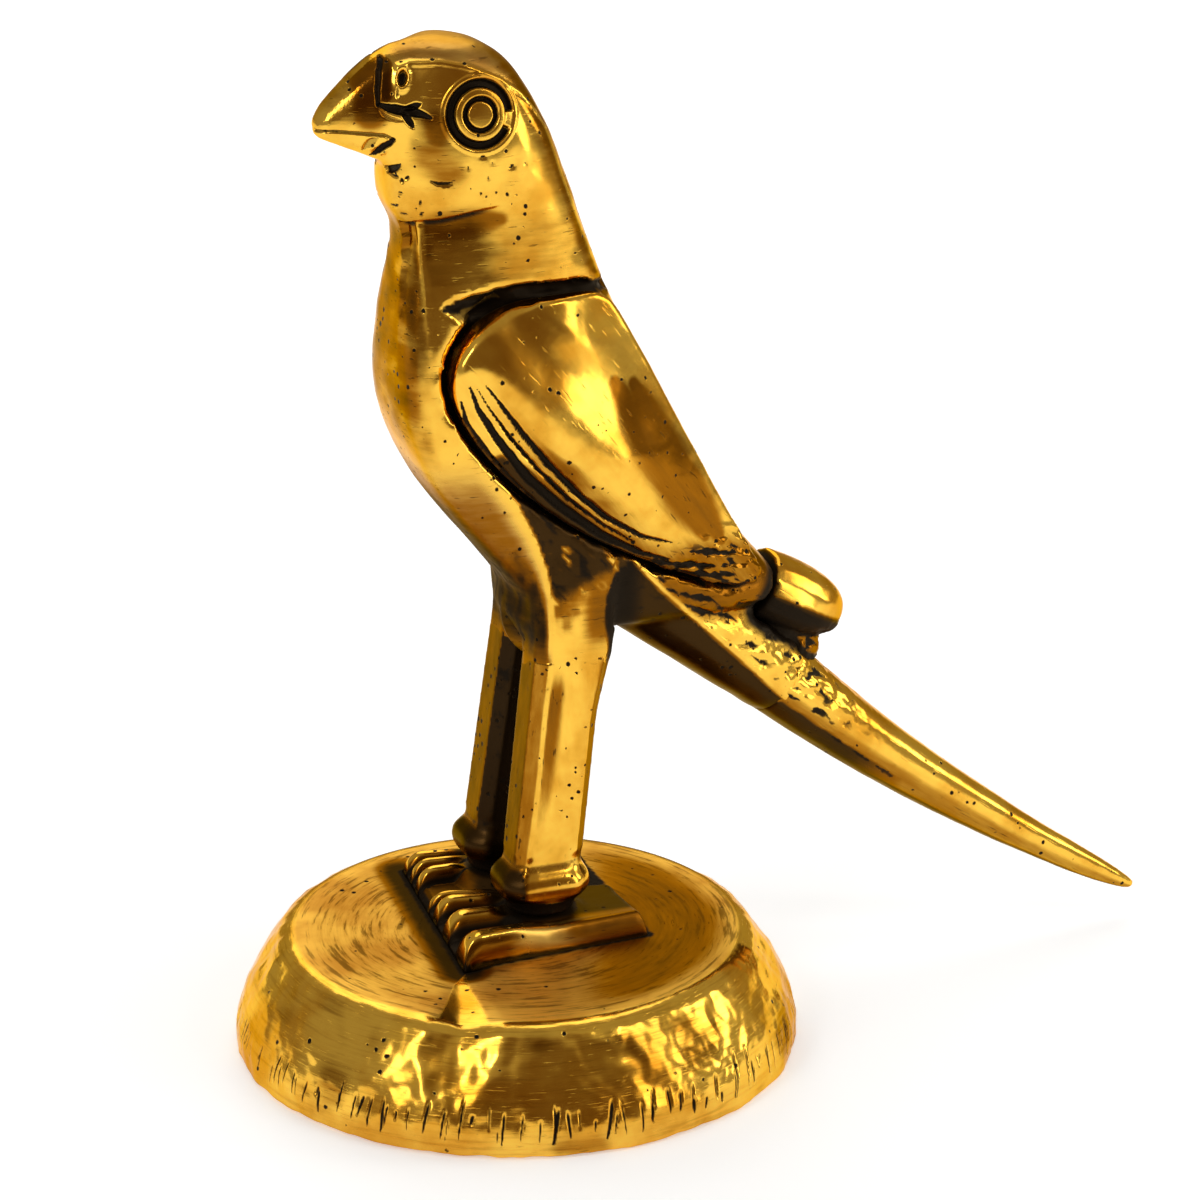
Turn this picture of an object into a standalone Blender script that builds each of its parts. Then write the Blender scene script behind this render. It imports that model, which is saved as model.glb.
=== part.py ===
"""Brass falcon figurine: a bird cast in several pieces, standing on a round domed base.

The bird faces -Y, its left side is towards +X, and the base stands on z = 0.
"""
import bpy
import bmesh
import math
from mathutils import Matrix, Vector

MM = 0.001

# Gap between pieces that are seated on each other
GAP = 0.3 * MM

# Base: a turned dome, hollow underneath
BASE_RADIUS = 36.0 * MM
BASE_SPREAD = 6.1 * MM
BASE_TOP_RADIUS = BASE_RADIUS - BASE_SPREAD
BASE_HEIGHT = 15.3 * MM
BASE_BAND = 2.2 * MM
BASE_TOP_ROUNDING = 1.0 * MM
BASE_FLANK_POWER = 1.75
BASE_FLANK_POINTS = 6
BASE_SEGMENTS = 56
BASE_PLATE = 6.0 * MM

# Felt pad let into the underside, a little prouder than the rim
FELT_MARGIN = 3.0 * MM
FELT_RADIUS = BASE_RADIUS - FELT_MARGIN
FELT_LEDGE = 9.0 * MM
CAVITY_RADIUS = FELT_RADIUS - FELT_LEDGE
FELT_THICKNESS = 1.6 * MM
FELT_PROUD = 0.4 * MM

# Bird: distance of its middle plane from the base axis
BIRD_X = -5.5 * MM

# Feet block on the base top, with the toe line and the heel line
TOE_Y = -9.3 * MM
TOE_SKEW = 0.09
TOE_ROUNDING = 1.3 * MM
HEEL_Y = 14.8 * MM
HEEL_ROUNDING = 1.2 * MM
FEET_STEPS = 9
FEET_PAD = 3.0 * MM
FEET_PAD_RADIUS = 4.7 * MM
FEET_DISH_RADIUS = 5.3 * MM
TOE_TIP_HEIGHT_SHARE = 0.72
HEEL_END_HEIGHT_SHARE = 0.6

# Toes of each foot from the far side: left side, right side and height
FAR_TOES = [
    (-22.3 * MM, -19.4 * MM, 2.9 * MM),
    (-18.9 * MM, -16.6 * MM, 3.1 * MM),
    (-15.9 * MM, -13.1 * MM, 3.4 * MM),
]
NEAR_TOES = [
    (-9.2 * MM, -7.4 * MM, 2.6 * MM),
    (-6.8 * MM, -2.9 * MM, 3.5 * MM),
    (-1.9 * MM, 3.3 * MM, 3.7 * MM),
    (4.5 * MM, 10.6 * MM, 4.0 * MM),
]
TOE_GROOVE_FLOOR = 1.6 * MM
TOE_WALL = 0.45 * MM
TOE_SHOULDER = 0.6 * MM
TOE_GROOVE_SHARE = 0.5

# Heels: left side, right side and height, and how much lower their sides are
FAR_HEEL = (-17.2 * MM, -12.0 * MM, 2.4 * MM)
NEAR_HEEL = (-3.8 * MM, 8.9 * MM, 3.0 * MM)
HEEL_CROWN_SHARE = 0.35

# Legs: faceted shanks with a square ankle ring, leaning back and inwards to the hips
ANKLE_SIDE = 7.35 * MM
ANKLE_Y = 2.6 * MM
HIP_SIDE = 5.9 * MM
HIP_Y = 6.4 * MM
LEG_LENGTH = 33.6 * MM
SHANK_WIDTH = 7.5 * MM
SHANK_DEPTH = 9.2 * MM
SHANK_CHAMFER = 1.5 * MM
NECK_RADIUS = 4.4 * MM
NECK_HEIGHT = 1.4 * MM
RING_HEIGHT = 4.4 * MM
RING_PROUD = 1.4 * MM
RING_CHAMFER = 2.2 * MM
RING_BELTS = ((1.0, 0.25), (0.55, 0.9), (0.0, 1.0), (-0.55, 0.9), (-1.0, 0.25))
TENON_RADIUS = 2.2 * MM
TENON_LENGTH = 7.0 * MM

# Fasteners under the base
STUD_RADIUS = 2.0 * MM
STUD_IN_LEG = 11.0 * MM
STUD_PAST_NUT = 1.0 * MM
WASHER_RADIUS = 4.6 * MM
WASHER_THICKNESS = 0.8 * MM
NUT_RADIUS = 4.05 * MM
NUT_THICKNESS = 3.2 * MM
NUT_SIDES = 6
ROUND_SIDES = 24

# Body sections above the hips: height, front, back, half widths at front, side and back
BODY_CORNER = 1.9 * MM
BODY_BACK_CORNER = 2.6 * MM
BODY_SIDE_PLACE = 0.45
BODY_SECTIONS = [
    (79.1 * MM, -11.0 * MM, -5.0 * MM, 2.5 * MM, 3.2 * MM, 2.4 * MM),
    (77.5 * MM, -13.6 * MM, -1.0 * MM, 3.6 * MM, 5.6 * MM, 4.0 * MM),
    (74.2 * MM, -14.2 * MM, 2.2 * MM, 4.8 * MM, 7.6 * MM, 5.4 * MM),
    (68.7 * MM, -14.4 * MM, 5.2 * MM, 6.0 * MM, 8.8 * MM, 6.2 * MM),
    (62.2 * MM, -14.9 * MM, 7.6 * MM, 5.8 * MM, 8.9 * MM, 6.2 * MM),
    (58.6 * MM, -14.9 * MM, 8.9 * MM, 5.6 * MM, 8.7 * MM, 6.2 * MM),
    (56.2 * MM, -12.6 * MM, 9.6 * MM, 6.2 * MM, 8.5 * MM, 6.2 * MM),
    (50.7 * MM, -13.4 * MM, 11.4 * MM, 6.9 * MM, 8.9 * MM, 6.2 * MM),
    (43.7 * MM, -14.4 * MM, 14.3 * MM, 8.2 * MM, 9.8 * MM, 6.0 * MM),
    (35.7 * MM, -14.9 * MM, 18.1 * MM, 9.3 * MM, 10.3 * MM, 6.0 * MM),
    (27.7 * MM, -13.4 * MM, 22.2 * MM, 9.4 * MM, 10.4 * MM, 6.0 * MM),
    (19.7 * MM, -8.7 * MM, 26.2 * MM, 9.3 * MM, 10.2 * MM, 6.0 * MM),
    (12.7 * MM, -3.1 * MM, 30.4 * MM, 9.1 * MM, 9.7 * MM, 6.0 * MM),
    (7.7 * MM, 0.9 * MM, 34.6 * MM, 8.6 * MM, 9.0 * MM, 5.8 * MM),
    (4.2 * MM, 2.6 * MM, 37.6 * MM, 8.0 * MM, 8.4 * MM, 5.8 * MM),
    (1.2 * MM, 5.0 * MM, 38.4 * MM, 7.0 * MM, 7.4 * MM, 5.4 * MM),
]

# Beak sections from the head to the tip: place, top, middle and bottom heights, half widths
BEAK_SECTIONS = [
    (-8.0 * MM, 79.2 * MM, 70.0 * MM, 62.5 * MM, 3.2 * MM, 7.2 * MM, 4.2 * MM),
    (-13.5 * MM, 78.8 * MM, 69.5 * MM, 63.2 * MM, 3.2 * MM, 6.6 * MM, 3.6 * MM),
    (-18.5 * MM, 75.2 * MM, 69.0 * MM, 65.6 * MM, 3.0 * MM, 4.6 * MM, 2.6 * MM),
    (-22.4 * MM, 71.2 * MM, 68.8 * MM, 67.4 * MM, 2.0 * MM, 2.4 * MM, 1.4 * MM),
    (-23.6 * MM, 69.7 * MM, 68.8 * MM, 68.0 * MM, 0.8 * MM, 1.0 * MM, 0.7 * MM),
]

# Thigh sections above the hips: height, half width, half depth and shift to the back
THIGH_CHAMFER = 1.9 * MM
THIGH_SECTIONS = [
    (0.0 * MM, 3.9 * MM, 4.8 * MM, 0.0 * MM),
    (5.0 * MM, 4.2 * MM, 5.6 * MM, 0.6 * MM),
    (12.0 * MM, 4.1 * MM, 6.8 * MM, 1.5 * MM),
    (20.0 * MM, 3.4 * MM, 7.2 * MM, 2.5 * MM),
]

# Tail line from the rump joint: it slopes down to the back and flattens towards the tip
TAIL_ROOT_Y = 38.0 * MM
TAIL_ROOT_ABOVE_HIPS = -10.3 * MM
TAIL_SLOPE = math.radians(41.5)
TAIL_BEND_RADIUS = 330.0 * MM
TAIL_TENON_RADIUS = 2.2 * MM
TAIL_TENON_LENGTH = 8.0 * MM

# Shape of a cut across the tail or the wing tips: share of the half width, then of the
# height above the line (positive) or of the depth below it (negative)
SLOPED_SHAPE = ((0.0, 1.0), (0.62, 0.86), (1.0, -0.1), (0.72, -0.86), (0.0, -1.0))

# Tail sections along that line: distance, half width, height above and depth below it
RUMP_SECTIONS = [
    (-33.0 * MM, 7.6 * MM, 4.0 * MM, 7.6 * MM),
    (-27.0 * MM, 7.6 * MM, 5.6 * MM, 9.4 * MM),
    (-18.0 * MM, 7.6 * MM, 7.6 * MM, 7.8 * MM),
    (-8.0 * MM, 7.2 * MM, 6.8 * MM, 6.4 * MM),
    (0.0 * MM, 6.4 * MM, 5.2 * MM, 5.5 * MM),
]
TAIL_SECTIONS = [
    (0.0 * MM, 6.4 * MM, 5.2 * MM, 5.5 * MM),
    (12.0 * MM, 5.4 * MM, 4.4 * MM, 4.9 * MM),
    (26.0 * MM, 4.5 * MM, 3.7 * MM, 4.3 * MM),
    (42.0 * MM, 3.3 * MM, 2.9 * MM, 3.3 * MM),
    (56.0 * MM, 2.1 * MM, 2.0 * MM, 2.2 * MM),
    (62.5 * MM, 1.4 * MM, 1.3 * MM, 1.3 * MM),
    (65.8 * MM, 0.7 * MM, 0.6 * MM, 0.6 * MM),
]

# Wing tips: a blunt bullet behind the rump, on its own line
TIPS_ROOT_Y = 35.2 * MM
TIPS_ROOT_ABOVE_HIPS = 3.2 * MM
TIPS_SLOPE = math.radians(29.0)
TIPS_REVEAL = 0.5 * MM
TIPS_SPIGOT_RADIUS = 2.2 * MM
TIPS_SPIGOT_LENGTH = 7.0 * MM
TIPS_SECTIONS = [
    (0.0 * MM, 6.2 * MM, 4.5 * MM, 4.6 * MM),
    (4.5 * MM, 6.4 * MM, 4.9 * MM, 4.8 * MM),
    (9.0 * MM, 5.8 * MM, 4.4 * MM, 4.3 * MM),
    (12.0 * MM, 4.0 * MM, 3.0 * MM, 3.0 * MM),
    (12.9 * MM, 1.8 * MM, 1.4 * MM, 1.4 * MM),
]

# Wings: flat seat on the body, seam round the edge, round spigot into the body
WING_SEAT = 6.8 * MM
WING_SEAM = 0.9 * MM
WING_TOP_SEAM = 1.5 * MM
WING_SPIGOT_RADIUS = 2.5 * MM
WING_SPIGOT_LENGTH = 3.6 * MM
WING_SPIGOT_Y = 8.0 * MM
WING_SPIGOT_ABOVE_HIPS = 30.0 * MM
POCKET_REACH = 14.0 * MM

# Wing rows from the shoulder down: front edge, back edge, then how far the front edge,
# the swell and the back edge stand out from the seat
WING_ROWS = [
    (-2.0 * MM, 46.6 * MM, 11.6 * MM, 47.2 * MM, 2.6 * MM, 3.2 * MM, 1.2 * MM),
    (-8.0 * MM, 43.0 * MM, 13.8 * MM, 42.8 * MM, 3.3 * MM, 4.6 * MM, 1.2 * MM),
    (-10.0 * MM, 37.6 * MM, 16.4 * MM, 37.8 * MM, 3.6 * MM, 5.2 * MM, 1.2 * MM),
    (-7.6 * MM, 31.2 * MM, 19.4 * MM, 31.6 * MM, 3.7 * MM, 5.4 * MM, 1.2 * MM),
    (-1.6 * MM, 23.6 * MM, 23.4 * MM, 24.0 * MM, 3.6 * MM, 5.0 * MM, 1.2 * MM),
    (7.4 * MM, 16.0 * MM, 27.6 * MM, 16.6 * MM, 3.2 * MM, 4.0 * MM, 1.2 * MM),
    (18.6 * MM, 10.0 * MM, 31.0 * MM, 11.0 * MM, 2.4 * MM, 2.6 * MM, 1.1 * MM),
    (28.8 * MM, 5.6 * MM, 33.4 * MM, 6.6 * MM, 1.5 * MM, 1.5 * MM, 1.0 * MM),
]
WING_SWELL_PLACES = (0.30, 0.62)
WING_BACK_SWELL = 0.85

SUBDIVISION_STEPS = 2
SMALL_PIECE_STEPS = 1
SMOOTH_ANGLE = math.radians(35)
MERGE_DISTANCE = 0.01 * MM

BRASS = (0.80, 0.52, 0.15)
BRASS_ROUGHNESS = 0.24
STEEL = (0.56, 0.56, 0.58)
STEEL_ROUGHNESS = 0.35
FELT = (0.03, 0.06, 0.04)
FELT_ROUGHNESS = 0.95

# Heights that follow from the sizes above
FEET_BOTTOM = BASE_HEIGHT + GAP
FEET_PAD_TOP = FEET_BOTTOM + FEET_PAD
LEG_BOTTOM = FEET_PAD_TOP + GAP
LEG_TOP = LEG_BOTTOM + LEG_LENGTH
HIP_Z = LEG_TOP + GAP
CAVITY_TOP = BASE_HEIGHT - BASE_PLATE
WASHER_TOP = CAVITY_TOP - GAP
NUT_TOP = WASHER_TOP - WASHER_THICKNESS - GAP
STUD_BOTTOM = NUT_TOP - NUT_THICKNESS - STUD_PAST_NUT
STUD_TOP = LEG_BOTTOM + STUD_IN_LEG
HOLE_RADIUS = STUD_RADIUS + GAP
SIDES = {"left": 1.0, "right": -1.0}


def clear_scene():
    for old in list(bpy.data.objects):
        bpy.data.objects.remove(old, do_unlink=True)


def new_collection(name):
    collection = bpy.data.collections.new(name)
    bpy.context.scene.collection.children.link(collection)
    return collection


def material(name, colour, metallic, roughness):
    made = bpy.data.materials.new(name)
    made.use_nodes = True
    shader = made.node_tree.nodes["Principled BSDF"]
    shader.inputs["Base Color"].default_value = (*colour, 1.0)
    shader.inputs["Metallic"].default_value = metallic
    shader.inputs["Roughness"].default_value = roughness
    return made


def brass(name):
    return material(name + "_brass", BRASS, 1.0, BRASS_ROUGHNESS)


def steel(name):
    return material(name + "_steel", STEEL, 1.0, STEEL_ROUGHNESS)


def add_object(name, bm, collection, parent=None):
    """Turn a bmesh into a named object with outward faces and smooth round sides."""
    bmesh.ops.recalc_face_normals(bm, faces=bm.faces)
    mesh = bpy.data.meshes.new(name)
    bm.to_mesh(mesh)
    bm.free()
    mesh.shade_smooth()
    mesh.set_sharp_from_angle(angle=SMOOTH_ANGLE)
    made = bpy.data.objects.new(name, mesh)
    collection.objects.link(made)
    made.parent = parent
    return made


def add_part(name, bm, look, parent=None):
    made = add_object(name, bm, PARTS, parent)
    made.data.materials.append(look)
    return made


def add_cutter(name, bm, parent=None):
    made = add_object(name, bm, CUTTERS, parent)
    made.hide_render = True
    made.display_type = "WIRE"
    return made


def join(target, tool, operation):
    """Boolean the tool into or out of the target."""
    step = target.modifiers.new(tool.name, "BOOLEAN")
    step.operation = operation
    step.object = tool
    step.solver = "EXACT"


def subdivide(target, levels):
    step = target.modifiers.new("round", "SUBSURF")
    step.levels = levels
    step.render_levels = levels


def loft(rings, flat_start=False, flat_end=False):
    """A closed skin over rings of points; a flat end keeps a sharp rim when subdivided."""
    bm = bmesh.new()
    rows = [[bm.verts.new(point) for point in ring] for ring in rings]
    for upper, lower in zip(rows, rows[1:]):
        for i, corner in enumerate(upper):
            bm.faces.new((upper[i - 1], corner, lower[i], lower[i - 1]))
    caps = [bm.faces.new(rows[0]), bm.faces.new(rows[-1])]
    crease = bm.edges.layers.float.new("crease_edge")
    for cap, flat in zip(caps, (flat_start, flat_end)):
        for edge in cap.edges:
            edge[crease] = 1.0 if flat else 0.0
    return bm


def rod(radius, start, end, sides=ROUND_SIDES):
    """A round bar between two points."""
    start = Vector(start)
    run = Vector(end) - start
    turn = run.to_track_quat("Z", "Y").to_matrix().to_4x4()
    place = Matrix.Translation(start + run / 2) @ turn
    bm = bmesh.new()
    bmesh.ops.create_cone(bm, cap_ends=True, segments=sides, radius1=radius, radius2=radius,
                          depth=run.length, matrix=place)
    return bm


def chamfered_box(x, y, z, half_width, half_depth, chamfer):
    """Ring of eight points: a rectangle with its corners cut off."""
    inner_x = half_width - chamfer
    inner_y = half_depth - chamfer
    corners = [(half_width, inner_y), (inner_x, half_depth), (-inner_x, half_depth), (-half_width, inner_y),
               (-half_width, -inner_y), (-inner_x, -half_depth), (inner_x, -half_depth), (half_width, -inner_y)]
    return [Vector((x + dx, y + dy, z)) for dx, dy in corners]


def turned(name, outline, look, segments=ROUND_SIDES):
    """Turn an outline of radius and height pairs about Z, listed down the outside and back up."""
    bm = bmesh.new()
    points = [bm.verts.new((radius, 0.0, height)) for radius, height in outline]
    closed = outline[0][0] > 0.0
    for first, second in zip(points, points[1:]):
        bm.edges.new((first, second))
    if closed:
        bm.edges.new((points[-1], points[0]))
    mesh = bpy.data.meshes.new(name)
    bm.to_mesh(mesh)
    bm.free()
    made = bpy.data.objects.new(name, mesh)
    PARTS.objects.link(made)
    made.data.materials.append(look)
    spin = made.modifiers.new("turn", "SCREW")
    spin.steps = segments
    spin.render_steps = segments
    spin.use_merge_vertices = True
    spin.merge_threshold = MERGE_DISTANCE
    spin.use_smooth_shade = True
    return made


def ankle_x(sign):
    return BIRD_X + sign * ANKLE_SIDE


def drill(target, sign, top, bottom, radius, name):
    """A round hole on an ankle's axis."""
    x = ankle_x(sign)
    hole = add_cutter(name, rod(radius, (x, ANKLE_Y, bottom), (x, ANKLE_Y, top)))
    join(target, hole, "DIFFERENCE")


def make_base():
    rim = FELT_PROUD
    flank = BASE_HEIGHT - BASE_TOP_ROUNDING - BASE_BAND - rim
    spread = BASE_RADIUS - BASE_TOP_RADIUS - BASE_TOP_ROUNDING / 2
    outline = [(0.0, BASE_HEIGHT), (BASE_TOP_RADIUS - BASE_TOP_ROUNDING, BASE_HEIGHT)]
    for i in range(BASE_FLANK_POINTS + 1):
        climb = 1.0 - i / BASE_FLANK_POINTS
        radius = BASE_RADIUS - spread * climb ** BASE_FLANK_POWER
        outline.append((radius, rim + BASE_BAND + flank * climb))
    ledge = FELT_THICKNESS + GAP
    outline.append((BASE_RADIUS, rim))
    outline.append((FELT_RADIUS + GAP, rim))
    outline.append((FELT_RADIUS + GAP, ledge))
    outline.append((CAVITY_RADIUS, ledge))
    outline.append((CAVITY_RADIUS, CAVITY_TOP))
    outline.append((0.0, CAVITY_TOP))
    base = turned("base", outline, brass("base"), BASE_SEGMENTS)
    for side, sign in SIDES.items():
        drill(base, sign, BASE_HEIGHT + BASE_PLATE, CAVITY_TOP - BASE_PLATE, HOLE_RADIUS, side + "_base_hole")


def make_felt_pad():
    outline = [(0.0, FELT_THICKNESS), (FELT_RADIUS, FELT_THICKNESS), (FELT_RADIUS, 0.0), (0.0, 0.0)]
    turned("felt_pad", outline, material("felt", FELT, 0.0, FELT_ROUGHNESS), BASE_SEGMENTS)


def foot_rows(toes, heel):
    """Points across one foot: place and height at the toes, then at the heel."""
    first = toes[0][0]
    last = toes[-1][1]
    heel_left, heel_right, heel_height = heel
    rows = []
    for left, right, height in toes:
        middle = (left + right) / 2
        shoulder = height - TOE_SHOULDER
        across = [(left, TOE_GROOVE_FLOOR), (left + TOE_WALL, shoulder), (middle, height),
                  (right - TOE_WALL, shoulder), (right, TOE_GROOVE_FLOOR)]
        for x, z in across:
            share = (x - first) / (last - first)
            crown = 1.0 - HEEL_CROWN_SHARE * (2.0 * share - 1.0) ** 2
            rows.append((x, z, heel_left + (heel_right - heel_left) * share, heel_height * crown))
    return rows


def feet_section(share, y, height_share):
    """One cut across both feet, between the toe line at share 0 and the heel line at share 1."""
    rows = foot_rows(FAR_TOES, FAR_HEEL) + foot_rows(NEAR_TOES, NEAR_HEEL)
    run = min(share / TOE_GROOVE_SHARE, 1.0)
    fade = run * run * (3.0 - 2.0 * run)
    ring = []
    for i, (toe_x, toe_z, heel_x, heel_z) in enumerate(rows):
        x = toe_x + (heel_x - toe_x) * share
        z = toe_z + (heel_z - toe_z) * fade
        if i in (0, len(rows) - 1):
            z = 0.0
        skew = TOE_SKEW * (BIRD_X - x) * (1.0 - share)
        ring.append(Vector((x, y + skew, FEET_BOTTOM + z * height_share)))
    return ring


def make_feet_block():
    run = HEEL_Y - TOE_Y
    rings = [feet_section(0.0, TOE_Y, TOE_TIP_HEIGHT_SHARE)]
    for i in range(FEET_STEPS + 1):
        y = TOE_Y + TOE_ROUNDING + (run - TOE_ROUNDING - HEEL_ROUNDING) * i / FEET_STEPS
        rings.append(feet_section((y - TOE_Y) / run, y, 1.0))
    rings.append(feet_section(1.0, HEEL_Y, HEEL_END_HEIGHT_SHARE))
    feet = add_part("feet_block", loft(rings), brass("feet_block"))
    for side, sign in SIDES.items():
        x = ankle_x(sign)
        middle = FEET_BOTTOM + FEET_PAD / 2
        pad = rod(FEET_PAD_RADIUS, (x, ANKLE_Y, middle), (x, ANKLE_Y, FEET_PAD_TOP))
        join(feet, add_cutter(side + "_ankle_pad", pad), "UNION")
        drill(feet, sign, FEET_PAD_TOP + 2 * FEET_PAD, FEET_PAD_TOP, FEET_DISH_RADIUS, side + "_ankle_dish")
        drill(feet, sign, FEET_PAD_TOP + FEET_PAD, FEET_BOTTOM - FEET_PAD, HOLE_RADIUS, side + "_foot_hole")


def make_leg(side, sign):
    ankle = ankle_x(sign)
    hip = BIRD_X + sign * HIP_SIDE
    ring_bottom = LEG_BOTTOM + NECK_HEIGHT
    ring_middle = ring_bottom + RING_HEIGHT / 2
    half_width = SHANK_WIDTH / 2
    half_depth = SHANK_DEPTH / 2
    shank = loft([chamfered_box(hip, HIP_Y, LEG_TOP, half_width, half_depth, SHANK_CHAMFER),
                  chamfered_box(ankle, ANKLE_Y, ring_middle, half_width, half_depth, SHANK_CHAMFER)])
    leg = add_part(side + "_leg", shank, brass(side + "_leg"))
    belts = []
    for rise, share in RING_BELTS:
        proud = RING_PROUD * share
        height = ring_middle + rise * RING_HEIGHT / 2
        belts.append(chamfered_box(ankle, ANKLE_Y, height, half_width + proud, half_depth + proud, RING_CHAMFER))
    join(leg, add_cutter(side + "_ankle_ring", loft(belts)), "UNION")
    neck = rod(NECK_RADIUS, (ankle, ANKLE_Y, LEG_BOTTOM), (ankle, ANKLE_Y, ring_middle))
    join(leg, add_cutter(side + "_ankle_neck", neck), "UNION")
    tenon = rod(TENON_RADIUS, (hip, HIP_Y, LEG_TOP - TENON_RADIUS), (hip, HIP_Y, HIP_Z + TENON_LENGTH))
    join(leg, add_cutter(side + "_hip_tenon", tenon), "UNION")
    drill(leg, sign, STUD_TOP + GAP, LEG_BOTTOM - NECK_HEIGHT, HOLE_RADIUS, side + "_leg_hole")


def make_fasteners(side, sign):
    x = ankle_x(sign)
    stud = rod(STUD_RADIUS, (x, ANKLE_Y, STUD_BOTTOM), (x, ANKLE_Y, STUD_TOP))
    add_part(side + "_stud", stud, steel(side + "_stud"))
    washer_bottom = WASHER_TOP - WASHER_THICKNESS
    washer = turned(side + "_washer", [(WASHER_RADIUS, WASHER_TOP), (WASHER_RADIUS, washer_bottom),
                                       (HOLE_RADIUS, washer_bottom), (HOLE_RADIUS, WASHER_TOP)],
                    steel(side + "_washer"))
    washer.location = (x, ANKLE_Y, 0.0)
    nut = rod(NUT_RADIUS, (x, ANKLE_Y, NUT_TOP - NUT_THICKNESS), (x, ANKLE_Y, NUT_TOP), sides=NUT_SIDES)
    nut = add_part(side + "_nut", nut, steel(side + "_nut"))
    drill(nut, sign, NUT_TOP + NUT_THICKNESS, NUT_TOP - 2 * NUT_THICKNESS, HOLE_RADIUS, side + "_nut_hole")


def mirrored(half):
    """Close a ring: points from front to back on +X, then their mirror images."""
    return half + [Vector((-p.x, p.y, p.z)) for p in reversed(half[1:-1])]


def body_ring(height, front, back, front_half, side_half, back_half):
    side_y = front + (back - front) * BODY_SIDE_PLACE
    return mirrored([
        Vector((0.0, front, height)),
        Vector((front_half - BODY_CORNER, front, height)),
        Vector((front_half, front + BODY_CORNER, height)),
        Vector((side_half, side_y, height)),
        Vector((back_half + BODY_BACK_CORNER / 2, back - BODY_BACK_CORNER, height)),
        Vector((back_half - BODY_BACK_CORNER / 2, back, height)),
        Vector((0.0, back, height)),
    ])


def beak_ring(y, top, middle, bottom, top_half, middle_half, bottom_half):
    return mirrored([
        Vector((0.0, y, top)),
        Vector((top_half, y, top)),
        Vector((middle_half, y, middle)),
        Vector((bottom_half, y, bottom)),
        Vector((0.0, y, bottom)),
    ])


def sloped_ring(centre, slope, half_width, above, below):
    """A section square to a line that slopes down to the back."""
    up = Vector((0.0, math.sin(slope), math.cos(slope)))
    right = Vector((1.0, 0.0, 0.0))
    half = []
    for width_share, height_share in SLOPED_SHAPE:
        rise = height_share * (above if height_share > 0.0 else below)
        half.append(centre + right * width_share * half_width + up * rise)
    return mirrored(half)


def tail_slope(along):
    """The tail line is an arc, so its slope falls evenly towards the tip."""
    return TAIL_SLOPE - along / TAIL_BEND_RADIUS


def tail_point(along):
    slope = tail_slope(along)
    y = TAIL_ROOT_Y + TAIL_BEND_RADIUS * (math.sin(TAIL_SLOPE) - math.sin(slope))
    z = TAIL_ROOT_ABOVE_HIPS - TAIL_BEND_RADIUS * (math.cos(slope) - math.cos(TAIL_SLOPE))
    return Vector((0.0, y, z))


def tail_rings(sections, offset=0.0):
    rings = []
    for along, half_width, above, below in sections:
        place = along + offset
        rings.append(sloped_ring(tail_point(place), tail_slope(place), half_width, above, below))
    return rings


def tips_point(along):
    y = TIPS_ROOT_Y + along * math.cos(TIPS_SLOPE)
    return Vector((0.0, y, TIPS_ROOT_ABOVE_HIPS - along * math.sin(TIPS_SLOPE)))


def tips_rings(grow=0.0):
    rings = []
    for along, half_width, above, below in TIPS_SECTIONS:
        place = along - grow if along == TIPS_SECTIONS[0][0] else along + grow
        rings.append(sloped_ring(tips_point(place), TIPS_SLOPE, half_width + grow, above + grow, below + grow))
    return rings


def wing_cage(sign, seat, pocket=False):
    """A wing slab: shaped outside, flat inside. A pocket is larger by the seam and open outwards."""
    bm = bmesh.new()
    last = len(WING_ROWS) - 1
    outer = []
    inner = []
    for i, (front_y, front_z, back_y, back_z, front_out, swell_out, back_out) in enumerate(WING_ROWS):
        front = Vector((0.0, front_y, front_z))
        back = Vector((0.0, back_y, back_z))
        outs = [front_out, swell_out, front_out + (swell_out - front_out) * WING_BACK_SWELL, back_out]
        if pocket:
            lift = Vector((0.0, 0.0, WING_TOP_SEAM if i == 0 else -WING_SEAM if i == last else 0.0))
            front += lift - Vector((0.0, WING_SEAM, 0.0))
            back += lift + Vector((0.0, POCKET_REACH, 0.0))
            outs = [POCKET_REACH] * len(outs)
        places = (0.0, *WING_SWELL_PLACES, 1.0)
        flat = [front.lerp(back, place) for place in places]
        inner.append([bm.verts.new((sign * seat, p.y, p.z)) for p in flat])
        outer.append([bm.verts.new((sign * (WING_SEAT + out), p.y, p.z)) for p, out in zip(flat, outs)])
    for upper, lower in zip(outer, outer[1:]):
        for i in range(len(upper) - 1):
            bm.faces.new((upper[i], upper[i + 1], lower[i + 1], lower[i]))

    def rim(grid):
        right = [row[-1] for row in grid]
        left = [row[0] for row in grid]
        return grid[0] + right[1:] + grid[-1][-2::-1] + left[-2:0:-1]

    outer_rim = rim(outer)
    inner_rim = rim(inner)
    bm.faces.new(inner_rim)
    for i in range(len(outer_rim)):
        bm.faces.new((outer_rim[i - 1], outer_rim[i], inner_rim[i], inner_rim[i - 1]))
    used = set(inner_rim)
    spare = [v for row in inner for v in row if v not in used]
    bmesh.ops.delete(bm, geom=spare, context="VERTS")
    crease = bm.edges.layers.float.new("crease_edge")
    for loop in (outer_rim, inner_rim):
        for i in range(len(loop)):
            bm.edges.get((loop[i - 1], loop[i]))[crease] = 1.0
    return bm


def wing_spigot(sign, clearance):
    inside = WING_SEAT - WING_SPIGOT_LENGTH - clearance
    outside = WING_SEAT + WING_TOP_SEAM
    return rod(WING_SPIGOT_RADIUS + clearance, (sign * inside, WING_SPIGOT_Y, WING_SPIGOT_ABOVE_HIPS),
               (sign * outside, WING_SPIGOT_Y, WING_SPIGOT_ABOVE_HIPS))


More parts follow.
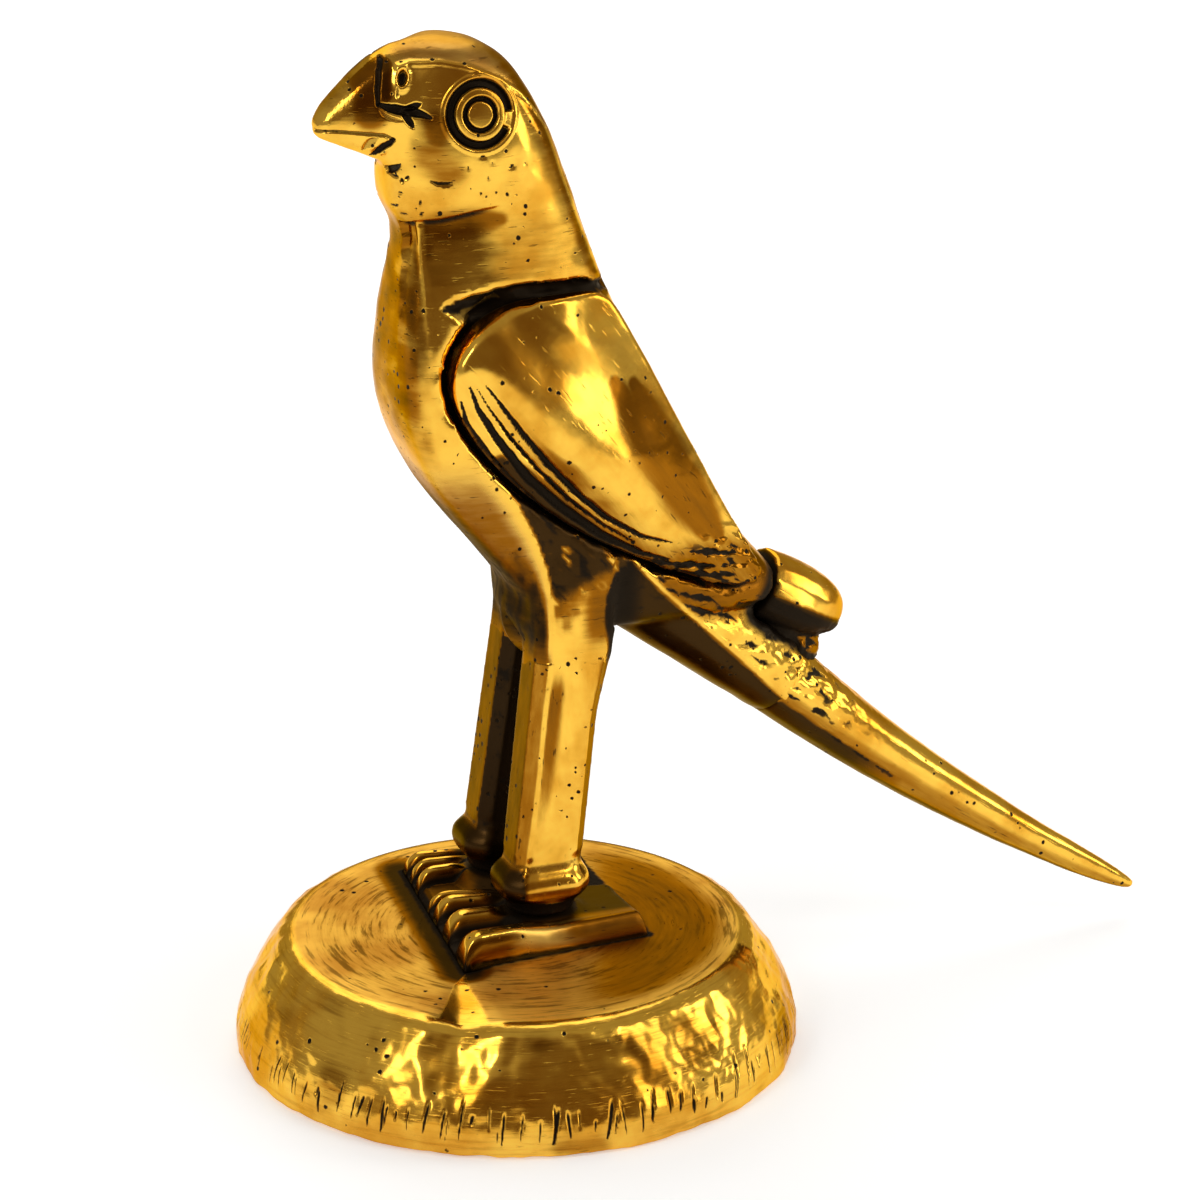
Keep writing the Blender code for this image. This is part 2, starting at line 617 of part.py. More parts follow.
def make_wing(side, sign, bird):
    wing = add_part(side + "_wing", wing_cage(sign, WING_SEAT), brass(side + "_wing"), bird)
    subdivide(wing, SUBDIVISION_STEPS)
    join(wing, add_cutter(side + "_wing_spigot", wing_spigot(sign, 0.0), bird), "UNION")


def make_tail(bird):
    tail = add_part("tail", loft(tail_rings(TAIL_SECTIONS, GAP), flat_start=True), brass("tail"), bird)
    subdivide(tail, SMALL_PIECE_STEPS)
    tenon = rod(TAIL_TENON_RADIUS, tail_point(-TAIL_TENON_LENGTH), tail_point(TAIL_TENON_RADIUS))
    join(tail, add_cutter("tail_tenon", tenon, bird), "UNION")


def make_wing_tips(bird):
    tips = add_part("wing_tips", loft(tips_rings(), flat_start=True), brass("wing_tips"), bird)
    subdivide(tips, SMALL_PIECE_STEPS)
    spigot = rod(TIPS_SPIGOT_RADIUS, tips_point(-TIPS_SPIGOT_LENGTH), tips_point(TIPS_SPIGOT_RADIUS))
    join(tips, add_cutter("tips_spigot", spigot, bird), "UNION")


def thigh_rings(sign):
    rings = []
    x = sign * HIP_SIDE
    for height, half_width, half_depth, shift in THIGH_SECTIONS:
        rings.append(chamfered_box(x, HIP_Y + shift, height, half_width, half_depth, THIGH_CHAMFER))
    return rings


def rounded_tool(name, bm, bird):
    tool = add_cutter(name, bm, bird)
    subdivide(tool, SMALL_PIECE_STEPS)
    return tool


def make_body(bird):
    rings = [body_ring(*section) for section in BODY_SECTIONS]
    body = add_part("body", loft(rings), brass("body"), bird)
    subdivide(body, SUBDIVISION_STEPS)
    beak = loft([beak_ring(*section) for section in BEAK_SECTIONS])
    join(body, rounded_tool("beak", beak, bird), "UNION")
    join(body, rounded_tool("rump", loft(tail_rings(RUMP_SECTIONS), flat_end=True), bird), "UNION")
    for side, sign in SIDES.items():
        thigh = loft(thigh_rings(sign), flat_start=True)
        join(body, rounded_tool(side + "_thigh", thigh, bird), "UNION")
    for side, sign in SIDES.items():
        pocket = wing_cage(sign, WING_SEAT - GAP, pocket=True)
        join(body, rounded_tool(side + "_wing_pocket", pocket, bird), "DIFFERENCE")
        socket = wing_spigot(sign, GAP)
        join(body, add_cutter(side + "_wing_socket", socket, bird), "DIFFERENCE")
        hip = rod(TENON_RADIUS + GAP, (sign * HIP_SIDE, HIP_Y, -TENON_LENGTH),
                  (sign * HIP_SIDE, HIP_Y, TENON_LENGTH + GAP))
        join(body, add_cutter(side + "_hip_socket", hip, bird), "DIFFERENCE")
    seat = rounded_tool("tips_seat", loft(tips_rings(TIPS_REVEAL), flat_start=True), bird)
    join(body, seat, "DIFFERENCE")
    tips_depth = TIPS_SPIGOT_LENGTH + GAP
    tips_hole = rod(TIPS_SPIGOT_RADIUS + GAP, tips_point(-tips_depth), tips_point(TIPS_SPIGOT_RADIUS))
    join(body, add_cutter("tips_socket", tips_hole, bird), "DIFFERENCE")
    tail_depth = TAIL_TENON_LENGTH + GAP
    tail_hole = rod(TAIL_TENON_RADIUS + GAP, tail_point(-tail_depth), tail_point(TAIL_TENON_RADIUS))
    join(body, add_cutter("tail_socket", tail_hole, bird), "DIFFERENCE")


clear_scene()
PARTS = new_collection("brass_falcon_figurine")
CUTTERS = new_collection("brass_falcon_cutters")

# The bird's own pieces hang on an empty at the hips
bird_frame = bpy.data.objects.new("bird_frame", None)
bird_frame.location = (BIRD_X, 0.0, HIP_Z)
PARTS.objects.link(bird_frame)

make_base()
make_felt_pad()
make_feet_block()
for side_name, side_sign in SIDES.items():
    make_leg(side_name, side_sign)
    make_fasteners(side_name, side_sign)
make_body(bird_frame)
for side_name, side_sign in SIDES.items():
    make_wing(side_name, side_sign, bird_frame)
make_wing_tips(bird_frame)
make_tail(bird_frame)
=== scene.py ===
# Looks of a cast brass falcon figurine on a round base, laid over the shared frame.
import math

import bpy
import numpy as np
from bpy.props import FloatProperty, FloatVectorProperty, IntProperty, PointerProperty
from mathutils import Matrix, Vector, noise
from mathutils.bvhtree import BVHTree


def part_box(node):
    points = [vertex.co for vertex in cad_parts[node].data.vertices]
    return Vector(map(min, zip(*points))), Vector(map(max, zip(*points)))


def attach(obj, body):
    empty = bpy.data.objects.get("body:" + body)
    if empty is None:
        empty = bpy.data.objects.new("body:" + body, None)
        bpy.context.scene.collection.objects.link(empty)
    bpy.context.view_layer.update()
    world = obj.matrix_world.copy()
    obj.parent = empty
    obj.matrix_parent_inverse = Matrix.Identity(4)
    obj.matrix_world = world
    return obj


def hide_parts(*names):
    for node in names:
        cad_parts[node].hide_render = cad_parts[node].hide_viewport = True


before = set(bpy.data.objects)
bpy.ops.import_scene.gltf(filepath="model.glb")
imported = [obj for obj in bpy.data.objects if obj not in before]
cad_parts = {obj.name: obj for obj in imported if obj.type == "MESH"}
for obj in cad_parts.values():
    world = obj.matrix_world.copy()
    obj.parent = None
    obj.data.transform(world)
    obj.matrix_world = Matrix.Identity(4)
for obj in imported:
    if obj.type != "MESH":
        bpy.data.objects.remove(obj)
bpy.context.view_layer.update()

bl_info = {
    "name": "Brass falcon figurine",
    "version": (1, 0, 0),
    "blender": (4, 5, 0),
    "location": "View3D > Sidebar > Falcon",
    "description": "Builds the cast brass falcon, its base and a plain studio over the packed frame",
    "category": "Object",
}

MM = 0.001

# Side-view lines on the bird, in millimetres along Y and Z, the same on both sides
EYE = (-4.5, 123.35)
NOSTRIL = (-13.2, 127.8)
BEAK_GROOVE = [(-15.1, 129.9), (-15.8, 128.6), (-16.3, 126.6), (-16.4, 124.8)]
BEAK_STEP = [(-14.8, 129.4), (-15.3, 127.7), (-15.4, 125.9)]
MOUTH = [(-23.4, 121.5), (-21.3, 121.6), (-18.5, 121.4), (-15.7, 121.1), (-14.6, 120.5)]
BEAK_NOTCH = [(-17.8, 119.1), (-17.3, 120.1), (-16.5, 120.7)]
MOUTH_CORNER = [(-16.8, 118.2), (-15.7, 119.5), (-14.5, 120.5)]
CHIN_FOLD = [(-15.4, 115.3), (-14.7, 116.3), (-13.8, 117.4)]
GASH = [(-16.2, 124.9), (-15.0, 124.4), (-13.6, 124.1), (-12.4, 123.9), (-11.4, 123.6), (-10.5, 123.2)]
GASH_UPPER = [(-13.5, 124.2), (-12.3, 124.5), (-11.4, 124.9)]
GASH_LOWER = [(-13.7, 123.9), (-13.0, 123.1), (-12.4, 122.0)]
GASH_LIP = [(-16.3, 124.4), (-15.8, 123.7), (-14.9, 123.2), (-13.7, 122.9)]
CRACK = [(-13.9, 126.9), (-14.1, 125.5)]
CHEEK_MARK = [(-10.7, 115.5), (-9.8, 115.1), (-8.7, 115.1), (-7.8, 115.5)]
CHEEK_PITS = [(-4.5, 118.3), (-3.4, 117.4), (-6.3, 117.0), (1.1, 116.8), (-0.8, 116.7), (-3.8, 115.6),
              (-6.0, 114.3), (-14.3, 115.8), (-13.2, 115.8), (-13.7, 115.4), (-13.9, 113.9), (-14.2, 112.0),
              (-11.8, 112.7), (-12.2, 111.9), (-13.4, 111.1), (-11.6, 111.3)]
BROW = [(-13.5, 129.0), (-12.0, 129.4), (-8.8, 129.6), (-6.3, 129.1), (-4.1, 128.3), (-1.6, 127.1), (1.0, 125.1),
        (3.0, 122.8), (4.4, 120.5)]
NAPE = [(4.4, 120.5), (6.4, 114.5), (9.0, 107.7), (11.3, 101.9)]
JAW = [(-13.5, 109.6), (-12.3, 110.1), (-9.5, 110.4), (-7.2, 110.9), (-4.8, 111.4), (-2.4, 111.9), (-0.3, 112.3)]
JAW_BAND = [(-12.1, 109.0), (-9.5, 109.4), (-6.0, 109.7), (-2.4, 110.1)]
SHOULDER_GROOVE = [(-9.3, 99.4), (-7.7, 99.9), (-5.2, 100.4), (-0.1, 100.8), (5.9, 100.5), (11.3, 100.0),
                   (13.4, 99.2)]
SHOULDER_RECESS = [(-8.3, 98.9), (-6.5, 98.5), (-3.6, 98.9), (-1.0, 99.5)]
FLANK_LOW = [(3.6, 60.8), (6.6, 62.9), (9.9, 64.3), (12.5, 65.0), (16.0, 65.4)]
ARCH = [(14.0, 64.3), (12.0, 63.3), (10.9, 60.5), (10.4, 56.4), (10.2, 49.0)]
CHINE = [(14.9, 64.3), (18.5, 60.1), (24.7, 53.9), (30.4, 48.2), (37.8, 40.6)]
RUMP_ROUGH = [(20.0, 61.8), (25.0, 58.0), (31.0, 52.5), (38.0, 46.0)]
RUMP_LINES = [
    [(15.6, 63.5), (20.3, 61.7), (23.7, 61.2), (28.6, 60.5)],
    [(19.2, 59.9), (22.8, 58.2), (27.1, 56.6)],
    [(16.7, 64.3), (22.2, 62.9), (27.8, 61.9)],
    [(22.0, 64.8), (28.6, 63.5)],
    [(22.5, 56.6), (26.5, 54.6), (30.0, 53.6)],
]
TAIL_MARKS = [[(43.0, 35.4), (46.0, 33.0)], [(46.8, 32.4), (49.6, 30.1)], [(50.4, 29.5), (53.3, 27.2)]]
FEATHERS = [
    [(-8.5, 88.5), (-7.7, 85.5), (-5.1, 81.3), (-2.0, 77.2), (1.4, 73.6), (5.6, 70.0)],
    [(-7.6, 90.5), (-6.4, 87.4), (-3.9, 83.2), (0.0, 77.7), (4.3, 73.3), (9.8, 68.8), (15.3, 65.5), (19.1, 64.2)],
    [(-5.7, 90.6), (-3.7, 87.7), (-1.2, 84.0), (2.0, 79.8), (6.1, 75.1), (10.2, 71.3), (15.0, 68.1), (19.4, 66.6)],
    [(-6.7, 90.2), (-5.0, 87.2), (-2.5, 83.4), (1.1, 78.8), (5.2, 74.3), (9.8, 70.3), (14.2, 67.2)],
]
FEATHER_WIDTHS = (0.55, 0.68, 0.45, 0.28)
FEATHER_SHADE = [(-3.4, 80.2), (1.0, 75.2), (6.0, 70.8), (11.0, 67.4)]
WING_MIDDLE = (10.0, 84.0)
COVERT_CREST = (5.2, 90.7)
# Rise of the covert's skin by the distance above its lower edge
COVERT_TILT = ((-5.5, -3.0, -0.5, 1.0, 4.0, 8.0, 11.0, 13.0, 16.0),
               (0.0, 0.25, 0.95, 1.1, 0.6, -0.1, -0.45, -0.4, 0.0))
# Bands along the wing's rear edge that carry a painted dark reflection
REAR_BANDS = [
    [(11.4, 88.8), (15.1, 81.9), (19.9, 73.4), (24.1, 66.7)],
    [(14.2, 88.0), (18.0, 80.5), (23.0, 71.5), (26.5, 65.5)],
]
CROWN_SHADE = [(-9.9, 122.6), (-9.8, 121.0)]
CHEEK_SHADE = [(-10.6, 118.4), (-8.6, 116.8)]
BEAK_SHADE = [(-16.6, 130.0), (-17.2, 127.0), (-17.4, 123.6)]
COVERT_EDGE = [(-6.1, 91.9), (-3.7, 90.4), (-1.3, 87.0), (1.9, 82.8), (5.9, 79.7), (9.2, 78.0), (12.5, 78.1)]

# Direction of the tail, as its run along Y and its fall on each millimetre
TAIL_AXIS = (0.75, 0.66)

# Webs that fill the corner below the wing tips: place along Y and Z, and half sizes
NUB_WEBS = [(40.4, 46.2, (3.0, 3.4, 3.6)), (37.4, 49.4, (3.3, 4.2, 3.2))]

# Edges of the neck, breast and legs, in millimetres: out from the middle plane, along Y and up
NECK_EDGE = [(5.3, -12.0, 109.4), (5.6, -11.8, 106.7), (6.4, -11.6, 103.2), (7.1, -11.5, 100.2), (7.8, -11.4, 97.2),
             (8.4, -11.2, 93.5), (8.9, -11.0, 89.0)]
BREAST_EDGE = [(9.7, -3.2, 77.5), (9.6, -0.6, 73.0), (9.4, 1.4, 69.0), (9.0, 2.9, 64.7), (9.4, 3.5, 60.8),
               (9.4, 3.6, 55.4), (8.8, 3.7, 50.5)]
LEG_EDGE = [(9.2, 3.7, 52.5), (10.0, 2.4, 45.0), (10.5, 1.3, 35.8), (10.7, 0.1, 27.9), (11.0, -0.6, 24.7)]
# The leg strip is a painted dark reflection beside the leg's front edge
LEG_STRIP = [(9.5, 4.6, 52.0), (10.0, 3.4, 44.8), (10.5, 2.0, 35.6), (10.7, 1.0, 29.0)]

# Heights between which a thigh takes on the section of its leg, the height where that section is taken,
# and how far a leg leans out and along Y on each millimetre down
HIP_BLEND = (57.5, 52.6)
LEG_SECTION = 51.0
LEG_LEAN = (0.048, -0.125)
# How far the backs of the legs and thighs flare out
HIP_FLARE = 1.1
# Place along Y and Z and half sizes of the web that closes the gap between the thighs
CROTCH_WEB = (5.0, 57.0, (9.0, 4.8, 7.0))
# Lift of a thigh off its leg by height, which lets the two skins cross at a flat angle
HIP_LIFT = ((47.8, 53.0), (-0.09, 0.08))

# Feet in plan view, in millimetres: places across both feet at the toe line and at the heel line
FOOT_KNOTS = (0.0, 0.29, 0.40, 1.0)
FOOT_FRONT = (-22.3, -13.1, -9.2, 10.6)
FOOT_BACK = (-17.2, -12.0, -3.8, 8.9)
# Toes: left side, right side, height and the share of the width where the crest lies
TOES = [(-22.3, -19.5, 2.9, 0.5), (-18.9, -16.7, 3.1, 0.5), (-15.9, -13.1, 3.4, 0.5), (-9.2, -7.4, 2.6, 0.5),
        (-6.6, -2.9, 3.5, 0.5), (-1.9, 3.2, 3.7, 0.55), (4.4, 10.6, 4.0, 0.8)]
# Middles of the ankles, line of the toe tips, and facet from its corner to the rim of the base
ANKLES = [(1.85, 2.6), (-12.85, 2.6)]
TOE_LINE = [(-22.3, -7.8), (10.6, -10.8)]
CORNER_RIDGE = [(10.9, -10.9), (14.5, -12.6), (19.8, -14.2), (25.5, -16.4)]
# Direction across the top of the base in which it gets darker, with a painted reflection of the bird
RIGHT_WAY = (0.358, 0.934)

# Least share by which skin faces out from the middle plane where it is cut in side view
FACES_OUT = 0.12
# Widest gap in the frame between parts that are brazed together
SEAM = 0.34 * MM

# Fades of masks on the body, each from the value where it is nothing to the value where it is full.
# By how far the skin faces forward, back, up or down; the back, up and down ones place painted reflection and
# painted shade
BODY_FRONT, NAPE_FACING, CROWN_FACING, UNDER_FACING = (0.15, 0.65), (0.15, 0.6), (0.35, 0.7), (0.25, 0.7)
# By height in millimetres
LOW_BREAST, UNDERSIDE, FLANK_TOP, LOWER_BREAST = (82.0, 72.0), (90.0, 70.0), (82.0, 76.0), (75.0, 63.0)
NECK_FRONT, NECK_SIDE = ((76.0, 88.0), (113.0, 108.0)), ((101.0, 103.0), (112.0, 109.0))
CROWN_UP, NAPE_UP, BROWN_BREAST, HIP_FADE = (121.0, 126.0), (96.0, 100.0), (68.0, 58.0), (50.5, 56.0)
THIGH, ARCH_TOP, HIP_FLARE_UP = ((64.0, 60.0), (51.5, 57.0)), (65.2, 64.0), ((43.0, 55.0), (63.0, 57.0))
# By place along Y in millimetres
CROWN_BACK, FLANK_END, THIGH_BACK, ARCH_END = (-15.0, -12.0), (20.0, 16.0), (6.5, 9.5), (19.0, 14.0)
BELLY_START, FLARE_END = (12.0, 14.0), (14.0, 12.0)
# Width of the fade ahead of the breast edge, by height
BREAST_FADE = (58.0, 72.0), (0.8, 3.6)
# Fades on the legs by height above the leg's foot, by height, and by how far the skin faces forward, back or in
SHANK, ANKLE, ANKLE_NECK, ANKLE_TOP = (5.6, 6.6), ((0.2, 1.0), (8.0, 6.6)), (2.3, 1.5), ((5.4, 6.0), (7.4, 6.6))
STRIP_TOP, SHANK_HIGH, LEG_SINK = (52.5, 47.0), (36.0, 52.0), (52.6, 53.4)
LEG_FRONT, LEG_CHAMFER, LEG_CORNER = (0.75, 0.95), (0.45, 0.65), (0.3, 0.5)
LEG_BACK, LEG_INNER = (0.5, 0.8), (0.25, 0.5)
# Points of the body whose cells are halved, and those near the eye and beak where they are halved again
FINE_HEAD, FINE_EYE, FINE_BEAK = 107.0, 5.2, (-9.5, 114.5)
# How far the body and legs are grown into the pieces they are brazed to
BODY_REACH, LIMB_REACH = {"tail": 1.0, "left_leg": 5.0, "right_leg": 5.0}, {"body": 1.0}
# Cuts in the head: line, half width, depth, darkness and how far the ends narrow
HEAD_CUTS = [
    (BEAK_GROOVE, 0.4, 0.4, 0.85, 0.3), (MOUTH, 0.26, 0.25, 0.7), (BEAK_NOTCH, 0.6, 0.3, 0.6, 0.6),
    (MOUTH_CORNER, 0.6, 0.5, 1.0, 0.7), (CHIN_FOLD, 0.4, 0.45, 1.0, 0.8), (GASH, 0.75, 0.6, 1.0, 0.6),
    (GASH_UPPER, 0.5, 0.4, 1.0, 0.7), (GASH_LOWER, 0.5, 0.4, 1.0, 0.7), (GASH_LIP, 0.3, 0.25, 0.6, 0.6),
    (CRACK, 0.22, 0.25, 0.7, 0.6), (CHEEK_MARK, 0.3, 0.3, 0.85, 0.8),
]
SHOULDER_CUTS = [(SHOULDER_GROOVE, 1.15, 1.1, 1.0, 0.45), (SHOULDER_RECESS, 1.5, 0.9, 0.75, 0.6)]
# Brown bands on the head: line, half width, strength and how far the ends narrow. The jaw band is painted shade
# under the jaw ledge
HEAD_SHADES = [(JAW_BAND, 3.6, 0.5, 0.5), (CROWN_SHADE, 2.6, 0.5), (CHEEK_SHADE, 3.6, 0.4), (BEAK_SHADE, 3.2, 0.6),
               (BEAK_STEP, 1.2, 0.75)]
# Wing: half sizes of its swell, direction across the covert, and fades past its crest and round its soft zone
WING_SWELL, COVERT_WAY, COVERT_END = (27.0, 12.5), (0.86, 0.51), (8.0, -1.5)
COVERT_SPREAD, COVERT_SOFT = ((5.0, 14.0), (1.0, 2.8)), ((-6.0, -4.0), (17.0, 14.0))
# Fades of the rough rump on a wing along Y and by height, of the tail along Y, and of the web by height
WING_RUMP, TAIL_SOFT = ((13.0, 22.0), (69.0, 63.5)), ((46.0, 58.0), (88.0, 72.0))
TAIL_ROUGH, TAIL_BROWN, NUB_WEB_TOP = (56.0, 40.0), (62.0, 44.0), (50.6, 49.0)
# Slope of the tail in radians, and how far the rump and the tops of the legs are sunk into their neighbours
TAIL_SLOPE, TAIL_SINK, LEG_TOP_SINK = 0.6, 0.28, 0.3
# Feet: cells across and along, and length of the rounded toe ends and heels
FEET_CELLS, TOE_END, HEEL_END = (236, 150), 2.6, 1.6
# Heights on the feet: far heel, near heel with its rise, ankle pads, web, floor between toes, and sunk border
FAR_HEEL, NEAR_HEEL, ANKLE_PAD, WEB_HEIGHT, TOE_FLOOR, FEET_SINK = 2.4, (2.3, 1.1), 3.0, 1.2, 0.7, -0.4
# Fades on the feet: from toes to heels by the share of the run, and round the ankles by distance
HEEL_FADE, ANKLE_FADE, GROOVE_FADE = (0.26, 0.52), (4.5, 6.6), (0.34, 0.46)
# Fade across the outer toe, and places across both feet between which the grooves are dark
OUTER_TOE, FEET_SIDES = (4.1, 10.0), (-22.0, 10.3)
# Base: cells along its top, flank and band, and in millimetres its felt seat, ledge, wall and the break of its foot
BASE_CELLS, FELT_GAP, FELT_LEDGE, BASE_WALL, FOOT_BREAK = (34, 36, 8), 0.3, 9.0, 6.0, 0.15
# Part of the flank whose cells are halved: least radius, and heights
FINE_FLANK = 33.0, 2.2, 8.2
# Fades on the base by radius, by height and along the direction in which the painted reflection of the bird darkens
# it
FLANK, TOP_HAZE, TOP_BROWN, RIGHT_BROWN = (28.7, 31.0), (28.9, 28.4), (29.0, 24.0), (30.0, 23.0)
FOOT_HAZE, RIGHT_FADE, TOE_DIP = (5.0, 2.0), (2.0, 16.0), (1.0, 4.6)
# Hammered waves of the flank, as size and depth
FLANK_WAVES = [(6.5, 0.22), (2.9, 0.11)]
# Chisel marks: least radius and heights they reach, middle height, least length and depth, in millimetres
CHISEL_REACH, CHISEL_HEIGHT, CHISEL_LEAST, CHISEL_DEPTH = (31.0, 1.8, 9.5), 4.1, 0.7, 0.2
# Softboxes: degrees right of the camera and above the horizon, width and height in metres, and watts
LIGHTS = {
    "left": (-42.0, 30.0, (0.28, 0.6), 1.25),
    "left key": (-40.0, 44.0, (0.15, 0.15), 0.5),
    "right": (66.0, 19.0, (0.26, 0.9), 1.5),
    "tail side": (96.0, 20.0, (0.3, 0.5), 1.4),
    "right key": (58.0, 44.0, (0.13, 0.13), 0.4),
    "top": (-172.0, 50.0, (0.9, 1.3), 4.3),
}
# Glow of the floor by the distance from the base axis, and from its brightest place: near and far distance in
# metres and the strength at each
AXIS_GLOW, BACK_GLOW = (0.1, 0.9, 0.4, 0.66), (0.42, 1.3, 1.0, 0.15)
# Colours of the floor's glow, of the tent and of its opening
FLOOR_GLOW, TENT, TENT_OPENING = (0.93, 0.97, 1.0, 1.0), (1.0, 0.94, 0.86, 1.0), (1.0, 0.7, 0.42, 1.0)
# Tent: turn of its opening in degrees, its rise, edge of the opening, and strength outside and in it
TENT_TURN, TENT_RISE, TENT_EDGE, TENT_STRENGTH = 14.0, 0.2, (0.62, 0.92), (0.36, 0.17)

# Brass: limits of the ramps that turn the groups and layers into masks, and how strongly each mask acts
PIT_BEND_SCALE, PIT_BEND, PIT_CLUSTER_SCALE = 1500.0, 0.3, 110.0
PIT_CLUSTERS, PIT_SIZES, PIT_EDGE = (0.42, 0.62, 0.08, 1.0), (0.05, 0.27), (0.04, -0.06)
SCRATCH_SCALE, SCRATCH_EDGE, STREAK_EDGE = 3.1, (0.64, 0.74), (0.42, 0.66)
# Clouds of tarnish: scale, detail, roughness and the ramp's limits
TARNISH = [("Patches", 95.0, 4.0, 0.55, 0.4, 0.68), ("Spots", 420.0, 5.0, 0.65, 0.55, 0.75)]
TONE_START, TONE_WARM, TONE_BROWN = (0.0, 0.25), (0.02, 0.5), (0.4, 0.95)
TONE_SCRATCHES, TONE_RAGGED, PATCH_WEAR = (0.12, 0.3, 0.0, 0.75), 0.4, 0.7
RING_CUTS, RING_CUT_HAZE = (0.53, 0.64), (0.1, 0.4, 0.12, 0.5)
PATINA_EDGE, PATINA_CLOUD, DARK_METAL_LOSS = (0.25, 0.8), 0.3, 0.55
BRASS_ROUGHNESS, PATCH_ROUGHNESS, BROWN_ROUGHNESS = 0.14, 0.06, 0.16
SCRATCH_ROUGHNESS, DARK_ROUGHNESS = 0.08, 0.25
RELIEF_SCALE, RELIEF_DEPTH = 260.0, 0.25 * MM
SPANGLE_SCALE, FIBRE_SCALE, FIBRE_DEPTH = 700.0, 2600.0, 0.2 * MM
# Finishes: stretch of the brush marks along each axis, pits to the metre and their share, strength of the streaks,
# whether the marks lie in rings, their turn about X, and how far haze dulls the colour and roughens
FINISHES = {
    "cast_brass": ((260.0, 110.0, 900.0), 850.0, 0.6, 0.06),
    "wing_brass": ((260.0, 90.0, 700.0), 850.0, 0.6, 0.12, False, math.radians(52.0)),
    "tail_brass": ((400.0, 45.0, 600.0), 850.0, 0.35, 0.12, False, math.radians(36.0)),
    "leg_brass": ((500.0, 500.0, 160.0), 850.0, 0.8, 0.15),
    "turned_brass": ((3.6, 3.6, 1500.0), 700.0, 0.3, 0.16, True, 0.0, (0.35, 0.5)),
}


def length(name, description, default):
    return FloatProperty(name=name, description=description, default=default, unit="LENGTH", precision=5)


def colour(name, description, default):
    return FloatVectorProperty(name=name, description=description, default=default, size=3, subtype="COLOR",
                               min=0.0, max=1.0)


class FalconSizes(bpy.types.PropertyGroup):
    body_cell: length("Body cell", "Cell the body's skin is rebuilt with", 0.55 * MM)
    wing_cell: length("Wing cell", "Cell a wing's skin is rebuilt with", 0.24 * MM)
    tail_cell: length("Tail cell", "Cell the tail and wing tips are rebuilt with", 0.3 * MM)
    limb_cell: length("Limb cell", "Cell the legs and feet are rebuilt with", 0.24 * MM)
    eye_disc: length("Eye disc", "Radius of the flat disc of the eye", 1.45 * MM)
    eye_ring: length("Eye ring", "Radius of the middle of the ring round the eye", 2.7 * MM)
    eye_outer: length("Eye groove", "Radius of the middle of the outer groove", 3.75 * MM)
    seam_reach: length("Seam reach", "How far patina spreads from a seam", 1.1 * MM)
    # How far painted shade spreads on the body and tail below the wing tips
    nub_shade_reach: length("Wing tip reach", "How far patina spreads below the wing tips", 4.2 * MM)
    base_band: length("Base band", "Height of the upright band at the foot of the base", 2.2 * MM)
    base_spread: length("Base spread", "How far the flank of the base runs out", 6.1 * MM)
    base_rounding: length("Base rounding", "Radius of the top edge of the base", 1.0 * MM)
    base_power: FloatProperty(name="Flank power", description="How rounded the flank of the base is", default=1.6)
    base_steps: IntProperty(name="Base steps", description="Cells round the base", default=720)
    chisel_marks: IntProperty(name="Chisel marks", description="Chisel marks round the base", default=150)


class FalconColours(bpy.types.PropertyGroup):
    gold: colour("Gold", "Polished brass", (0.96, 0.56, 0.07))
    rim: colour("Rim", "Tint of the brass where it is seen at a flat angle", (1.0, 0.75, 0.42))
    amber: colour("Amber", "Warmer, duller brass", (0.60, 0.23, 0.008))
    # Umber and brown colour the tone layer: thin patina, and also painted shade and painted dark reflections
    umber: colour("Umber", "Thin orange-brown patina", (0.30, 0.105, 0.004))
    brown: colour("Brown", "Patina", (0.045, 0.022, 0.006))
    # Haze also serves as a painted pale reflection on the crown and the breast front
    haze_and_sheen: colour("Haze", "Dull, unpolished brass", (0.42, 0.26, 0.11))
    # Black colours the patina layer, which also holds painted shade under the wing tips, wings and thigh arches, on
    # the belly and on the legs' inner faces
    black: colour("Black", "Thick patina in the recesses", (0.012, 0.008, 0.005))
    steel: colour("Steel", "Zinc-plated steel", (0.56, 0.56, 0.58))
    felt: colour("Felt", "Wool felt", (0.02, 0.045, 0.03))
    floor: colour("Floor", "Floor and backdrop", (0.92, 0.92, 0.92))


class FalconStage(bpy.types.PropertyGroup):
    azimuth: FloatProperty(name="Azimuth", description="Direction the camera looks from", subtype="ANGLE",
                           default=math.radians(69.0))
    elevation: FloatProperty(name="Elevation", description="Height of the camera above the horizon",
                             subtype="ANGLE", default=math.radians(20.75))
    distance: length("Distance", "Camera to the point it is aimed at", 625 * MM)
    aim_right: length("Aim right", "Aim point to the right of the base axis", 10.78 * MM)
    aim_height: length("Aim height", "Height of the aim point", 59.85 * MM)
    lens: FloatProperty(name="Lens", description="Focal length in millimetres", default=150.0)
    floor_shift: length("Floor shift", "How far behind the bird the brightest part of the floor lies", 0.25)
    floor_radius: length("Floor radius", "Radius of the round floor", 4.0)


# Small helpers

def pick(obj):
    bpy.ops.object.select_all(action="DESELECT")
    obj.select_set(True)
    bpy.context.view_layer.objects.active = obj
    return obj


def modify(obj, kind, **settings):
    """Add a modifier and apply it."""
    pick(obj)
    step = obj.modifiers.new(kind.lower(), kind)
    for key, value in settings.items():
        setattr(step, key, value)
    bpy.ops.object.modifier_apply(modifier=step.name)


def node_tree(node):
    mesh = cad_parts[node].data
    return BVHTree.FromPolygons([v.co for v in mesh.vertices], [p.vertices for p in mesh.polygons])


def reach_into(mesh, node, amount):
    """Move the points that lie a seam's width from another CAD node into it, which closes a brazed seam."""
    tree = node_tree(node)
    for vertex in mesh.vertices:
        spot = tree.find_nearest(vertex.co, SEAM)[0]
        if spot is not None:
            vertex.co += (spot - vertex.co).normalized() * amount


